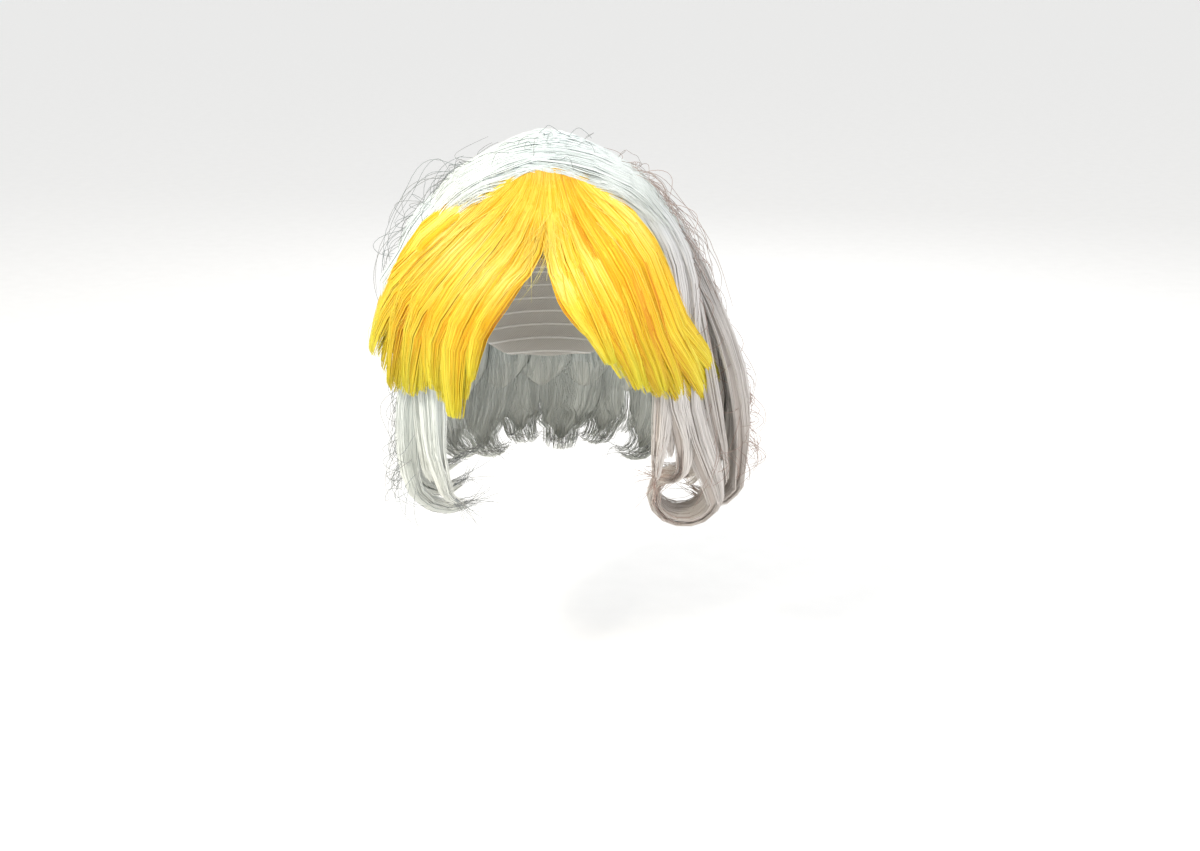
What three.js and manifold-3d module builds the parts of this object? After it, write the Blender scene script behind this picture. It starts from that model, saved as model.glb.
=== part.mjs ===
// A short two-tone dress-up wig: a close-fitting cap, a parted yellow fringe swept to both sides, and
// white wavy hair that falls from the crown to curled-under ends. Millimetres, +Z up, the face towards -Y.
// The origin is the centre of the head, level with the band line where the cap is widest.
//
// Everything is laid out on the head form. A place on it is an azimuth in degrees (0 in front, +90 on the
// +X side, 180 behind), a station (0 on top of the crown, 1 on the band line, 2 at the end of the fall) and
// a lift, the distance out from the head form. A lock is a D-shaped strip that follows such a route, and its
// curled end turns in under it. Each section of hair is its locks fused to a thin weft on the cap.

import * as THREE from "three";
import { mergeVertices } from "three/addons/utils/BufferGeometryUtils.js";
import Module from "manifold-3d";

const wasm = await Module();
wasm.setup();

// Head form inside the cap
const headHalfWidth = 76;
const headHalfDepth = 96;
const crownHeight = 86;
const hairFall = 165;

// Cap
const capWall = 1.5;
const capFrontRise = 36;
const earTabDrop = 24;
const earArchRise = 4;
const napeDrop = 66;
const napeTuck = 11;
const capSeam = 0.56;

// Gaps: between neighbouring sections, and from the cap to what is sewn on it
const sectionGap = 0.35;
const seatGap = 0.7;

// White hair
const crownVolume = 22;
const crownRidge = 2.4;
const leftVolume = 17;
const rightVolume = 46;
const backVolume = 24;
const sideLockWidth = 38;
const backLockWidth = 48;
const whiteLockThickness = 13;
const curlRadius = 12;
const waveDepth = 6;

// Yellow fringe
const fringeVolume = 20;
const fringeLockWidth = 34;
const fringeLockThickness = 11;

// Every lock starts on a weft
const weftThickness = 2.5;
const rootLift = 2;
const edgeThickness = 1.2;

// Fineness of the faceted shapes
const capSegments = 36;
const capRings = 4;
const crownRidges = 12;
const crownRings = 5;
const lockStep = 25;
const curlRings = 4;
const weftRows = 4;
const weftStep = 8;
const outerPoints = [-1, -0.55, 0, 0.55, 1];
const innerPoints = [1, 0, -1];

const degrees = Math.PI / 180;
const onCap = capWall + seatGap;
const stationsPerLength = 1 / (crownHeight * (Math.PI / 2));

// The cap's lower edge: height above the band line in front and over the ear, depth below it elsewhere
const capEdge = [
  { azimuth: 0, height: capFrontRise },
  { azimuth: 32, height: capFrontRise * 0.86 },
  { azimuth: 50, height: 0 },
  { azimuth: 62, height: -earTabDrop },
  { azimuth: 76, height: -earTabDrop },
  { azimuth: 90, height: earArchRise },
  { azimuth: 108, height: -napeDrop * 0.1 },
  { azimuth: 132, height: -napeDrop * 0.72 },
  { azimuth: 156, height: -napeDrop * 0.96 },
  { azimuth: 180, height: -napeDrop },
];

// Where the crown ends, above the fringe's roots in front and well down the head elsewhere, and how much
// of its thickness is left at that rim
const crownEdge = [
  { azimuth: 0, station: 0.27, rim: 0.5 },
  { azimuth: 34, station: 0.34, rim: 0.55 },
  { azimuth: 50, station: 0.5, rim: 0.7 },
  { azimuth: 66, station: 0.58, rim: 0.88 },
  { azimuth: 180, station: 0.6, rim: 0.88 },
];

// The crown's outer face: lift as a share of its volume, by station
const crownProfile = [
  { station: 0, lift: 0.96 },
  { station: 0.1, lift: 0.8 },
  { station: 0.2, lift: 0.66 },
  { station: 0.34, lift: 0.66 },
  { station: 0.48, lift: 0.8 },
  { station: 0.64, lift: 0.8 },
];

// Route of each lock, from its root over the head, low past the band line and on to its tip. Lift is a share
// of its section's volume, width and thickness are shares of the section's, curl is the turn of the curled
// end in degrees, round a share of the curl radius and wave a share of the wave depth.
const lockColumns = [
  "rootAzimuth", "rootStation",
  "overAzimuth", "overStation", "overLift",
  "lowAzimuth", "lowStation", "lowLift",
  "tipAzimuth", "tipStation", "tipLift",
  "width", "thickness", "taper", "wave", "curl", "round",
];

const leftFringeRows = [
  [-9, 0.33, -56, 0.73, 0.35, -75, 0.98, 1.1, -84, 1.2, 1.85, 0.95, 1.05, 0.7, 0, 0, 0],
  [-8, 0.39, -47, 0.76, 0.5, -65, 1.0, 0.95, -76, 1.33, 1.35, 0.95, 1.0, 0.65, 0, 0, 0],
  [-7, 0.45, -39, 0.78, 0.55, -54, 1.02, 0.85, -61, 1.31, 1.1, 0.9, 1.0, 0.6, 0, 0, 0],
  [-6, 0.51, -31, 0.8, 0.5, -43, 1.03, 0.8, -46, 1.26, 0.95, 0.8, 1.0, 0.5, 0, 0, 0],
  [-5, 0.57, -25, 0.82, 0.45, -35, 1.04, 0.7, -36, 1.35, 0.9, 0.75, 1.0, 0.4, 0, 0, 0],
  [-4, 0.63, -19, 0.83, 0.35, -28, 1.0, 0.55, -31, 1.2, 0.7, 0.6, 0.9, 0.35, 0, 0, 0],
];

const rightFringeRows = [
  [10, 0.33, 44, 0.62, 0.35, 53, 0.98, 0.65, 87, 1.36, 1.75, 0.75, 0.9, 0.45, 0, 0, 0],
  [9, 0.36, 39, 0.67, 0.4, 47, 0.99, 0.65, 75, 1.38, 1.3, 0.9, 1.0, 0.5, 0, 0, 0],
  [8, 0.41, 33, 0.71, 0.45, 40, 0.99, 0.65, 60, 1.34, 0.85, 0.9, 1.0, 0.5, 0, 0, 0],
  [7, 0.47, 26, 0.75, 0.45, 33, 0.99, 0.65, 47, 1.29, 0.8, 0.85, 1.0, 0.5, 0, 0, 0],
  [6, 0.53, 19, 0.78, 0.4, 26, 0.98, 0.6, 36, 1.24, 0.75, 0.75, 1.0, 0.5, 0, 0, 0],
  [5, 0.59, 13, 0.81, 0.35, 19, 0.97, 0.5, 25, 1.13, 0.6, 0.65, 0.95, 0.45, 0, 0, 0],
  [4, 0.65, 9, 0.83, 0.3, 13, 0.93, 0.4, 18, 1.03, 0.5, 0.5, 0.9, 0.35, 0, 0, 0],
];

const leftSideRows = [
  [-60, 0.5, -65, 0.86, 0.2, -60, 1.4, 0.35, -55, 1.7, 0.3, 0.8, 0.85, 0.45, 0.6, 60, 1],
  [-78, 0.48, -83, 0.84, 0.7, -82, 1.4, 0.7, -77, 1.72, 0.9, 1.05, 1.0, 0.45, 0.8, 110, 2],
  [-97, 0.48, -101, 0.84, 0.85, -99, 1.4, 0.75, -97, 1.76, 0.9, 1.0, 1.0, 0.5, -1, 135, 1.4],
  [-115, 0.48, -118, 0.84, 0.65, -117, 1.4, 1.0, -116, 1.76, 1.2, 1.0, 1.0, 0.5, 1, 140, 1],
];

const rightSideRows = [
  [52, 0.52, 57, 0.86, 0.06, 58, 1.36, 0.15, 55, 1.66, 0.12, 0.7, 0.75, 0.25, 0.6, 20, 1],
  [65, 0.5, 66, 0.86, 0.14, 62, 1.36, 0.22, 66, 1.65, 0.36, 0.85, 0.95, 0.45, -0.8, 110, 0.8],
  [78, 0.48, 77, 0.84, 0.2, 72, 1.36, 0.3, 90, 1.88, 0.72, 0.95, 1.0, 0.45, 1, 250, 1.5],
  [95, 0.48, 98, 0.84, 0.28, 91, 1.4, 1.0, 99, 1.87, 1.14, 1.05, 1.05, 0.5, -1, 140, 1.1],
  [114, 0.48, 117, 0.84, 0.28, 113, 1.4, 0.87, 116, 1.82, 0.87, 1.0, 1.0, 0.5, 1, 130, 1],
];

const backRows = [
  [-133, 0.48, -135, 0.86, 0.5, -135, 1.4, 0.75, -134, 1.76, 0.9, 0.85, 1.0, 0.5, -1, 130, 1],
  [-150, 0.46, -152, 0.86, 0.5, -152, 1.4, 0.85, -151, 1.8, 1.0, 1.0, 1.0, 0.5, 1, 140, 1],
  [-168, 0.46, -169, 0.86, 0.5, -169, 1.4, 0.9, -168, 1.76, 1.05, 1.0, 1.05, 0.5, -1, 130, 1],
  [174, 0.46, 174, 0.86, 0.5, 174, 1.4, 0.9, 175, 1.8, 1.05, 1.0, 1.0, 0.5, 1, 145, 1],
  [156, 0.46, 157, 0.86, 0.5, 157, 1.4, 0.95, 158, 1.76, 1.1, 1.0, 1.05, 0.5, -1, 130, 1],
  [137, 0.48, 139, 0.86, 0.45, 139, 1.4, 1.1, 139, 1.8, 1.2, 1.0, 1.0, 0.5, 1, 135, 1],
];

// Reads a column of a table at a value of its key column, eased from row to row
function across(table, key, at, column) {
  const after = Math.max(1, table.findIndex((row) => row[key] >= at));
  const low = table[after - 1];
  const high = table[after];
  const share = THREE.MathUtils.smoothstep(at, low[key], high[key]);
  return low[column] + (high[column] - low[column]) * share;
}

// The head form's point and outward normal
function headForm(azimuth, station) {
  const turn = azimuth * degrees;
  const polar = Math.min(station, 1) * (Math.PI / 2);
  const ring = Math.sin(polar);
  const height = station <= 1 ? crownHeight * Math.cos(polar) : -(station - 1) * hairFall;
  const point = new THREE.Vector3(
    headHalfWidth * ring * Math.sin(turn),
    -headHalfDepth * ring * Math.cos(turn),
    height,
  );
  const normal = new THREE.Vector3(
    point.x / headHalfWidth ** 2,
    point.y / headHalfDepth ** 2,
    Math.max(height, 0) / crownHeight ** 2,
  );
  return { point, normal: normal.normalize() };
}

// The azimuth and station that lie under a point
function placeOf(point) {
  const x = point.x / headHalfWidth;
  const y = point.y / headHalfDepth;
  const azimuth = Math.atan2(x, -y) / degrees;
  if (point.z <= 0) return { azimuth, station: 1 - point.z / hairFall };
  const polar = Math.atan2(Math.hypot(x, y), point.z / crownHeight);
  return { azimuth, station: polar / (Math.PI / 2) };
}

function onHead(azimuth, station, lift) {
  const { point, normal } = headForm(azimuth, station);
  return point.addScaledVector(normal, lift);
}

// Turns rings of points, each ring as long as the next, into a closed solid
function solidFromRings(rings) {
  const count = rings[0].length;
  const points = rings.flat();
  const faces = [];
  for (let ring = 0; ring + 1 < rings.length; ring++)
    for (let i = 0; i < count; i++) {
      const a = ring * count + i;
      const b = ring * count + ((i + 1) % count);
      faces.push(a, b, b + count, a, b + count, a + count);
    }
  const last = (rings.length - 1) * count;
  for (let i = 0; i + 1 < count / 2; i++) {
    const j = count - 1 - i;
    faces.push(i, j, i + 1, last + i, last + i + 1, last + j);
    if (i + 1 < j - 1) faces.push(i + 1, j, j - 1, last + i + 1, last + j - 1, last + j);
  }
  return solidFromFaces(points, faces);
}

function solidFromFaces(points, faces) {
  const geometry = new THREE.BufferGeometry().setFromPoints(points);
  geometry.setIndex(faces);
  const merged = mergeVertices(geometry, 1e-4);
  const triVerts = [];
  const index = merged.index.array;
  for (let i = 0; i < index.length; i += 3) {
    const [a, b, c] = index.slice(i, i + 3);
    if (a !== b && b !== c && a !== c) triVerts.push(a, b, c);
  }
  const mesh = (order) =>
    new wasm.Manifold(
      new wasm.Mesh({
        numProp: 3,
        vertProperties: merged.attributes.position.array,
        triVerts: new Uint32Array(order),
      }),
    );
  const made = mesh(triVerts);
  return made.volume() > 0 ? made : mesh(triVerts.reverse());
}

function join(solids) {
  return solids.reduce((whole, solid) => whole.add(solid));
}

// The one body of a fused or cut solid, without crumbs that a cut leaves or pockets closed in between locks
function mainBody(solid) {
  return solid.decompose().reduce((a, b) => (a.volume() > b.volume() ? a : b));
}

// Height of a lock's rounded outer face over its flat inner face, as a share of its thickness
function crowned(share) {
  return Math.sqrt(Math.max(0, 1 - share * share));
}

// A lock's width along its length: narrow at the root, full by a third, drawn in towards the tip
function widthAlong(share, taper, rootShare) {
  const opened = rootShare + (1 - rootShare) * Math.min(1, share * 3);
  const drawn = 1 - (1 - taper) * Math.max(0, (share - 0.45) / 0.55) ** 1.5;
  return opened * drawn;
}

function thicknessAlong(share, taper, rootShare) {
  const opened = rootShare + (1 - rootShare) * Math.min(1, share * 2.5);
  const drawn = 1 - (0.8 - 0.4 * taper) * Math.max(0, (share - 0.5) / 0.5) ** 2;
  return opened * drawn;
}

function named(row) {
  return Object.fromEntries(lockColumns.map((column, i) => [column, row[i]]));
}

// One lock. grow swells it by that much all over, which makes the tool that cuts its neighbours clear.
function lockSolid(section, row, grow) {
  const lock = named(row);
  const knots = ["root", "over", "low", "tip"];
  const route = new THREE.CatmullRomCurve3(
    knots.map((knot) => headForm(lock[`${knot}Azimuth`], lock[`${knot}Station`]).point),
  );
  const raised = (share) => onCap + Math.max(rootLift, share * section.volume);
  const lifts = new THREE.CatmullRomCurve3(
    knots.map((knot) => new THREE.Vector3(raised(lock[`${knot}Lift`] ?? 0), 0, 0)),
  );
  const radius = lock.round * curlRadius;
  const curled = lock.curl * degrees * radius;
  const pathShare = route.getLength() / (route.getLength() + curled);

  const halfWidth = (share) =>
    (section.width / 2) * lock.width * widthAlong(share, lock.taper, section.rootShare) + grow;
  const thickness = (share) =>
    section.thickness * lock.thickness * thicknessAlong(share, lock.taper, section.rootShare);
  const outer = (share, u) => edgeThickness + (thickness(share) - edgeThickness) * crowned(u) + grow;

  // Centre line on the head form, with a wave that grows from the band line down
  const centre = (t) => {
    const at = placeOf(route.getPoint(t));
    const wave = lock.wave * waveDepth * Math.sin(t * 3 * Math.PI) * t;
    return { ...at, lift: lifts.getPoint(t).x + Math.abs(wave) * 0.5, sway: wave };
  };
  const surface = (t) => {
    const at = centre(t);
    return headForm(at.azimuth, at.station).point;
  };
  const frame = (t) => {
    const step = 1e-3;
    const ahead = surface(Math.min(1, t + step));
    const along = ahead.sub(surface(Math.max(0, t - step))).normalize();
    const at = centre(t);
    const { point, normal } = headForm(at.azimuth, at.station);
    const side = new THREE.Vector3().crossVectors(along, normal).normalize();
    const down = new THREE.Vector3().crossVectors(normal, side).normalize();
    return { at, point: point.addScaledVector(side, at.sway), normal, side, down };
  };

  const onSurface = (t, u, rise) => {
    const { at, point, side } = frame(t);
    const share = t * pathShare;
    const under = placeOf(point.addScaledVector(side, u * halfWidth(share)));
    return onHead(under.azimuth, under.station, at.lift + rise);
  };
  const ringAt = (place, share) => [
    ...outerPoints.map((u) => place(u, outer(share, u))),
    ...innerPoints.map((u) => place(u, -grow)),
  ];

  const rings = [];
  const steps = Math.ceil(route.getLength() / lockStep);
  for (let i = 0; i <= steps; i++) {
    const t = i / steps;
    rings.push(ringAt((u, rise) => onSurface(t, u, rise), t * pathShare));
  }
  if (lock.curl > 0) {
    const end = frame(1);
    const start = onHead(end.at.azimuth, end.at.station, end.at.lift).addScaledVector(end.side, end.at.sway);
    const bowAt = (u) => onSurface(1, u, 0).sub(start).dot(end.normal);
    for (let i = 1; i <= curlRings; i++) {
      const turn = (lock.curl * degrees * i) / curlRings;
      const share = pathShare + ((1 - pathShare) * i) / curlRings;
      const middle = start
        .clone()
        .addScaledVector(end.down, Math.sin(turn) * radius)
        .addScaledVector(end.normal, -(1 - Math.cos(turn)) * radius);
      const out = end.normal
        .clone()
        .multiplyScalar(Math.cos(turn))
        .addScaledVector(end.down, Math.sin(turn));
      rings.push(
        ringAt(
          (u, rise) =>
            middle
              .clone()
              .addScaledVector(end.side, u * halfWidth(share))
              .addScaledVector(out, rise + bowAt(u) * (halfWidth(share) / halfWidth(pathShare)) ** 2),
          share,
        ),
      );
    }
  }
  return solidFromRings(lengthened(rings, grow));
}

// Moves the first and last ring outwards, away from the rings next to them
function lengthened(rings, grow) {
  const moved = (ring, next) =>
    ring.map((point, i) => point.clone().addScaledVector(point.clone().sub(next[i]).normalize(), grow));
  return [moved(rings[0], rings[1]), ...rings.slice(1, -1), moved(rings.at(-1), rings.at(-2))];
}

// A curved strip on the head form between two stations and two azimuths: the weft that locks are sewn to
function weftSolid(weft, grow) {
  const columns = Math.ceil(Math.abs(weft.to - weft.from) / weftStep);
  const rings = [];
  for (let i = 0; i <= columns; i++) {
    const azimuth = weft.from + ((weft.to - weft.from) * i) / columns;
    const top = weft.top(azimuth) - grow * stationsPerLength;
    const low = weft.low(azimuth) + grow * stationsPerLength;
    const stations = Array.from({ length: weftRows + 1 }, (_, k) => top + ((low - top) * k) / weftRows);
    rings.push([
      ...stations.map((station) => onHead(azimuth, station, onCap + weftThickness + grow)),
      ...stations.toReversed().map((station) => onHead(azimuth, station, onCap - grow)),
    ]);
  }
  return solidFromRings(lengthened(rings, grow));
}

function sectionSolid(section, grow = 0) {
  return join([weftSolid(section.weft, grow), ...section.rows.map((row) => lockSolid(section, row, grow))]);
}

function capEdgeStation(azimuth) {
  const height = across(capEdge, "azimuth", Math.abs(azimuth), "height");
  if (height < 0) return 1 - height / hairFall;
  return Math.acos(height / crownHeight) / (Math.PI / 2);
}

// A wall of the cap between two stations, closed over the top where it starts there. The nape leans in.
function capWallSolid(from, to) {
  const tuck = (azimuth, station) => {
    const behind = Math.max(0, -Math.cos(azimuth * degrees));
    const depth = (Math.max(0, station - 1) * hairFall) / napeDrop;
    return -napeTuck * behind * depth * depth;
  };
  const skin = (azimuth, station, lift) => onHead(azimuth, station, lift + tuck(azimuth, station));
  const meridians = [];
  for (let i = 0; i < capSegments; i++) {
    const azimuth = -180 + (360 * i) / capSegments;
    const first = from > 0 ? 0 : 1;
    const drop = (to(azimuth) - from) / capRings;
    const stations = Array.from({ length: capRings + 1 - first }, (_, k) => from + drop * (k + first));
    meridians.push([
      ...stations.map((station) => skin(azimuth, station, capWall)),
      ...stations.toReversed().map((station) => skin(azimuth, station, 0)),
    ]);
  }
  return shellFromMeridians(meridians, from > 0 ? [] : [onHead(0, 0, capWall), onHead(0, 0, 0)]);
}

// The cap is two sewn parts: a net dome on top, and a band whose edge rises over the forehead and ears and
// drops to ear tabs and nape
function capNetSolid() {
  return capWallSolid(0, () => capSeam);
}

function capBandSolid() {
  return capWallSolid(capSeam + sectionGap * stationsPerLength, capEdgeStation);
}

// Closes meridians, each down a wall's outside and back up its inside, into a ring, or into a dome where its
// outer and inner top points are given
function shellFromMeridians(meridians, tops) {
  const count = meridians[0].length;
  const points = [...meridians.flat(), ...tops];
  const [outer, inner] = [points.length - 2, points.length - 1];
  const steps = tops.length > 0 ? count - 1 : count;
  const faces = [];
  meridians.forEach((_, m) => {
    const here = m * count;
    const next = ((m + 1) % meridians.length) * count;
    if (tops.length > 0) faces.push(outer, here, next, inner, next + count - 1, here + count - 1);
    for (let k = 0; k < steps; k++) {
      const below = (k + 1) % count;
      faces.push(here + k, here + below, next + below, here + k, next + below, next + k);
    }
  });
  return solidFromFaces(points, faces);
}

function crownEdgeStation(azimuth) {
  return across(crownEdge, "azimuth", Math.abs(azimuth), "station");
}

function crownRim(azimuth, share) {
  const rim = across(crownEdge, "azimuth", Math.abs(azimuth), "rim");
  return 1 - (1 - rim) * share ** 4;
}

// The crown: a thick dome with shallow ridges that run out from the whorl to its edge
function crownSolid(grow = 0) {
  const segments = crownRidges * 4;
  const outerLift = (azimuth, station, share) => {
    const ridge = Math.cos((azimuth + 40 * share) * crownRidges * degrees) * crownRidge * Math.sqrt(share);
    const thickness = crownVolume * across(crownProfile, "station", station, "lift") + ridge;
    return onCap + thickness * crownRim(azimuth, share) + grow;
  };
  const meridians = [];
  for (let i = 0; i < segments; i++) {
    const azimuth = -180 + (360 * i) / segments;
    const edge = crownEdgeStation(azimuth) + grow * stationsPerLength;
    const shares = Array.from({ length: crownRings }, (_, k) => (k + 1) / crownRings);
    meridians.push([
      ...shares.map((share) => onHead(azimuth, edge * share, outerLift(azimuth, edge * share, share))),
      ...shares.toReversed().map((share) => onHead(azimuth, edge * share, onCap - grow)),
    ]);
  }
  const topLift = outerLift(0, 0, 0);
  return shellFromMeridians(meridians, [onHead(0, 0, topLift), onHead(0, 0, onCap - grow)]);
}

const whiteSection = { width: sideLockWidth, thickness: whiteLockThickness, rootShare: 0.9 };
const whiteWeft = { top: (azimuth) => crownEdgeStation(azimuth) - 0.02, low: () => 0.8 };
const leftSide = {
  ...whiteSection,
  rows: leftSideRows,
  volume: leftVolume,
  weft: { ...whiteWeft, from: -124, to: -52 },
};
const rightSide = {
  ...whiteSection,
  rows: rightSideRows,
  volume: rightVolume,
  weft: { ...whiteWeft, from: 48, to: 124 },
};
const back = {
  ...whiteSection,
  rows: backRows,
  volume: backVolume,
  width: backLockWidth,
  weft: { ...whiteWeft, from: 126, to: 234 },
};
const yellowSection = {
  volume: fringeVolume,
  width: fringeLockWidth,
  thickness: fringeLockThickness,
  rootShare: 0.5,
};
const fringeWeft = {
  top: (azimuth) => crownEdgeStation(azimuth) - 0.04,
  low: () => 0.7,
};
const leftFringe = {
  ...yellowSection,
  rows: leftFringeRows,
  weft: { ...fringeWeft, from: -40, to: -0.6 },
};
const rightFringe = {
  ...yellowSection,
  rows: rightFringeRows,
  weft: { ...fringeWeft, from: 0.6, to: 40 },
};

const white = new THREE.MeshStandardMaterial({ color: 0xe9eff0, roughness: 0.42, metalness: 0 });
const yellow = new THREE.MeshStandardMaterial({ color: 0xfbc814, roughness: 0.38, metalness: 0 });
const capCloth = new THREE.MeshStandardMaterial({ color: 0xdcd9d2, roughness: 0.85, metalness: 0 });

function piece(name, solid, material) {
  const { vertProperties, triVerts } = solid.getMesh();
  const geometry = new THREE.BufferGeometry();
  geometry.setAttribute("position", new THREE.BufferAttribute(vertProperties, 3));
  geometry.setIndex(new THREE.BufferAttribute(triVerts, 1));
  geometry.computeVertexNormals();
  const mesh = new THREE.Mesh(geometry, material);
  mesh.name = name;
  return mesh;
}

// A section cut back from the ones that lie under it or beside it
function clearOf(solid, ...neighbours) {
  return mainBody(neighbours.reduce((rest, neighbour) => rest.subtract(neighbour), solid));
}

const crown = crownSolid();
const crownTool = crownSolid(sectionGap);
const sideTools = join([sectionSolid(leftSide, sectionGap), sectionSolid(rightSide, sectionGap)]);

const leftFringeTool = sectionSolid(leftFringe, sectionGap);

const wig = new THREE.Group();
wig.name = "wig";
wig.add(piece("cap_net", capNetSolid(), capCloth));
wig.add(piece("cap_band", capBandSolid(), capCloth));
wig.add(piece("crown", crown, white));
wig.add(piece("side_left", clearOf(sectionSolid(leftSide), crownTool), white));
wig.add(piece("side_right", clearOf(sectionSolid(rightSide), crownTool), white));
wig.add(piece("back", clearOf(sectionSolid(back), crownTool, sideTools), white));
wig.add(piece("fringe_left", clearOf(sectionSolid(leftFringe), crownTool, sideTools), yellow));
wig.add(piece("fringe_right", clearOf(sectionSolid(rightFringe), crownTool, sideTools, leftFringeTool), yellow));

export default wig;
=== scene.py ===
"""Looks of a short two-tone dress-up wig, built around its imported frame.

Everything is laid out on the head form that the cap sits on, in metres: a place on it is an azimuth
(0 in front, +90 degrees on the +X side), a station (0 on top of the crown, 1 on the band line, 2 at the end
of the fall) and a lift outwards. Each section of hair is a smooth under-layer with thousands of separate
strands over it. The strands follow guides, which Geometry Nodes multiply, ruffle and trim.
"""

import math

import bmesh
import bpy
import numpy as np
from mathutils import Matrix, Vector


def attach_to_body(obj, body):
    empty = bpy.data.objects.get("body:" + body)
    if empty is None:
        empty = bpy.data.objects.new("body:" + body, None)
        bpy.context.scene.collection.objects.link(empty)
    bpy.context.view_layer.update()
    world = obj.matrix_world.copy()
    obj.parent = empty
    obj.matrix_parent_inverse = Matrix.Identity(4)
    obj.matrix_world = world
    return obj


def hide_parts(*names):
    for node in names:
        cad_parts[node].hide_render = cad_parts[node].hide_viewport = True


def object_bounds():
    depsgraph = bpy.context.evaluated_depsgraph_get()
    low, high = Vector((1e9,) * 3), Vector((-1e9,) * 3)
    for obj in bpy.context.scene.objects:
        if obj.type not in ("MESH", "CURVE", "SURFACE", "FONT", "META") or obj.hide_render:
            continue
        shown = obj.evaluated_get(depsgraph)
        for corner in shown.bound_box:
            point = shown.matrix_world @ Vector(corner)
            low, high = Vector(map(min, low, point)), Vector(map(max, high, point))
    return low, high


bl_info = {
    "name": "Two-tone Dress-up Wig",
    "version": (1, 0, 0),
    "blender": (4, 5, 0),
    "location": "View3D > Sidebar > Wig",
    "description": "Builds a short wig with a yellow fringe and white curled hair",
    "category": "Add Mesh",
}

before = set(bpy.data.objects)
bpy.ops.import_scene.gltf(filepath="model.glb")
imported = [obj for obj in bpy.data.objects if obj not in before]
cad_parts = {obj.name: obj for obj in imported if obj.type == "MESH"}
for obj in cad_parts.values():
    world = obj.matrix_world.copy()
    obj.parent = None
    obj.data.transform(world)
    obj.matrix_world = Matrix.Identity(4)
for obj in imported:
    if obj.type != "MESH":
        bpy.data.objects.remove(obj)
CAD_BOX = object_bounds()

MM = 0.001

LOCK_COLUMNS = (
    "root_azimuth", "root_station",
    "over_azimuth", "over_station", "over_lift",
    "low_azimuth", "low_station", "low_lift",
    "tip_azimuth", "tip_station", "tip_lift",
    "width", "thickness", "taper", "wave", "curl", "round",
)

# One row for each lock: its route over the head, its lifts as shares of the section's volume, its width and
# thickness as shares of the section's, and the turn of its curled end in degrees
LEFT_FRINGE = (
    (-9, 0.33, -56, 0.73, 0.35, -75, 0.98, 1.1, -84, 1.2, 1.85, 0.95, 1.05, 0.7, 0, 0, 0),
    (-8, 0.39, -47, 0.76, 0.5, -65, 1.0, 0.95, -76, 1.33, 1.35, 0.95, 1.0, 0.65, 0, 0, 0),
    (-7, 0.45, -39, 0.78, 0.55, -54, 1.02, 0.85, -61, 1.31, 1.1, 0.9, 1.0, 0.6, 0, 0, 0),
    (-6, 0.51, -31, 0.8, 0.5, -43, 1.03, 0.8, -46, 1.26, 0.95, 0.8, 1.0, 0.5, 0, 0, 0),
    (-5, 0.57, -25, 0.82, 0.45, -35, 1.04, 0.7, -36, 1.35, 0.9, 0.75, 1.0, 0.4, 0, 0, 0),
    (-4, 0.63, -19, 0.83, 0.35, -28, 1.0, 0.55, -31, 1.2, 0.7, 0.6, 0.9, 0.35, 0, 0, 0),
)
RIGHT_FRINGE = (
    (10, 0.33, 44, 0.62, 0.35, 53, 0.98, 0.65, 87, 1.36, 1.75, 0.75, 0.9, 0.45, 0, 0, 0),
    (9, 0.36, 39, 0.67, 0.4, 47, 0.99, 0.65, 75, 1.38, 1.3, 0.9, 1.0, 0.5, 0, 0, 0),
    (8, 0.41, 33, 0.71, 0.45, 40, 0.99, 0.65, 60, 1.34, 0.85, 0.9, 1.0, 0.5, 0, 0, 0),
    (7, 0.47, 26, 0.75, 0.45, 33, 0.99, 0.65, 47, 1.29, 0.8, 0.85, 1.0, 0.5, 0, 0, 0),
    (6, 0.53, 19, 0.78, 0.4, 26, 0.98, 0.6, 36, 1.24, 0.75, 0.75, 1.0, 0.5, 0, 0, 0),
    (5, 0.59, 13, 0.81, 0.35, 19, 0.97, 0.5, 25, 1.13, 0.6, 0.65, 0.95, 0.45, 0, 0, 0),
    (4, 0.65, 9, 0.83, 0.3, 13, 0.93, 0.4, 18, 1.03, 0.5, 0.5, 0.9, 0.35, 0, 0, 0),
)
# A thin sheet of strands over the upper edge of the left fringe
LEFT_FRINGE_COVER = (-36, 0.36, -58, 0.61, 0.68, -77, 0.95, 1.2, -85, 1.14, 1.8, 0.75, 0.35, 0.6, 0, 0, 0)
LEFT_SIDE = (
    (-60, 0.5, -65, 0.86, 0.2, -60, 1.4, 0.35, -55, 1.7, 0.3, 0.8, 0.85, 0.45, 0.6, 60, 1),
    (-78, 0.48, -83, 0.84, 0.7, -82, 1.4, 0.7, -77, 1.72, 0.9, 1.05, 1.0, 0.45, 0.8, 110, 2),
    (-97, 0.48, -101, 0.84, 0.85, -99, 1.4, 0.75, -97, 1.76, 0.9, 1.0, 1.0, 0.5, -1, 135, 1.4),
    (-115, 0.48, -118, 0.84, 0.65, -117, 1.4, 1.0, -116, 1.76, 1.2, 1.0, 1.0, 0.5, 1, 140, 1),
)
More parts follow.
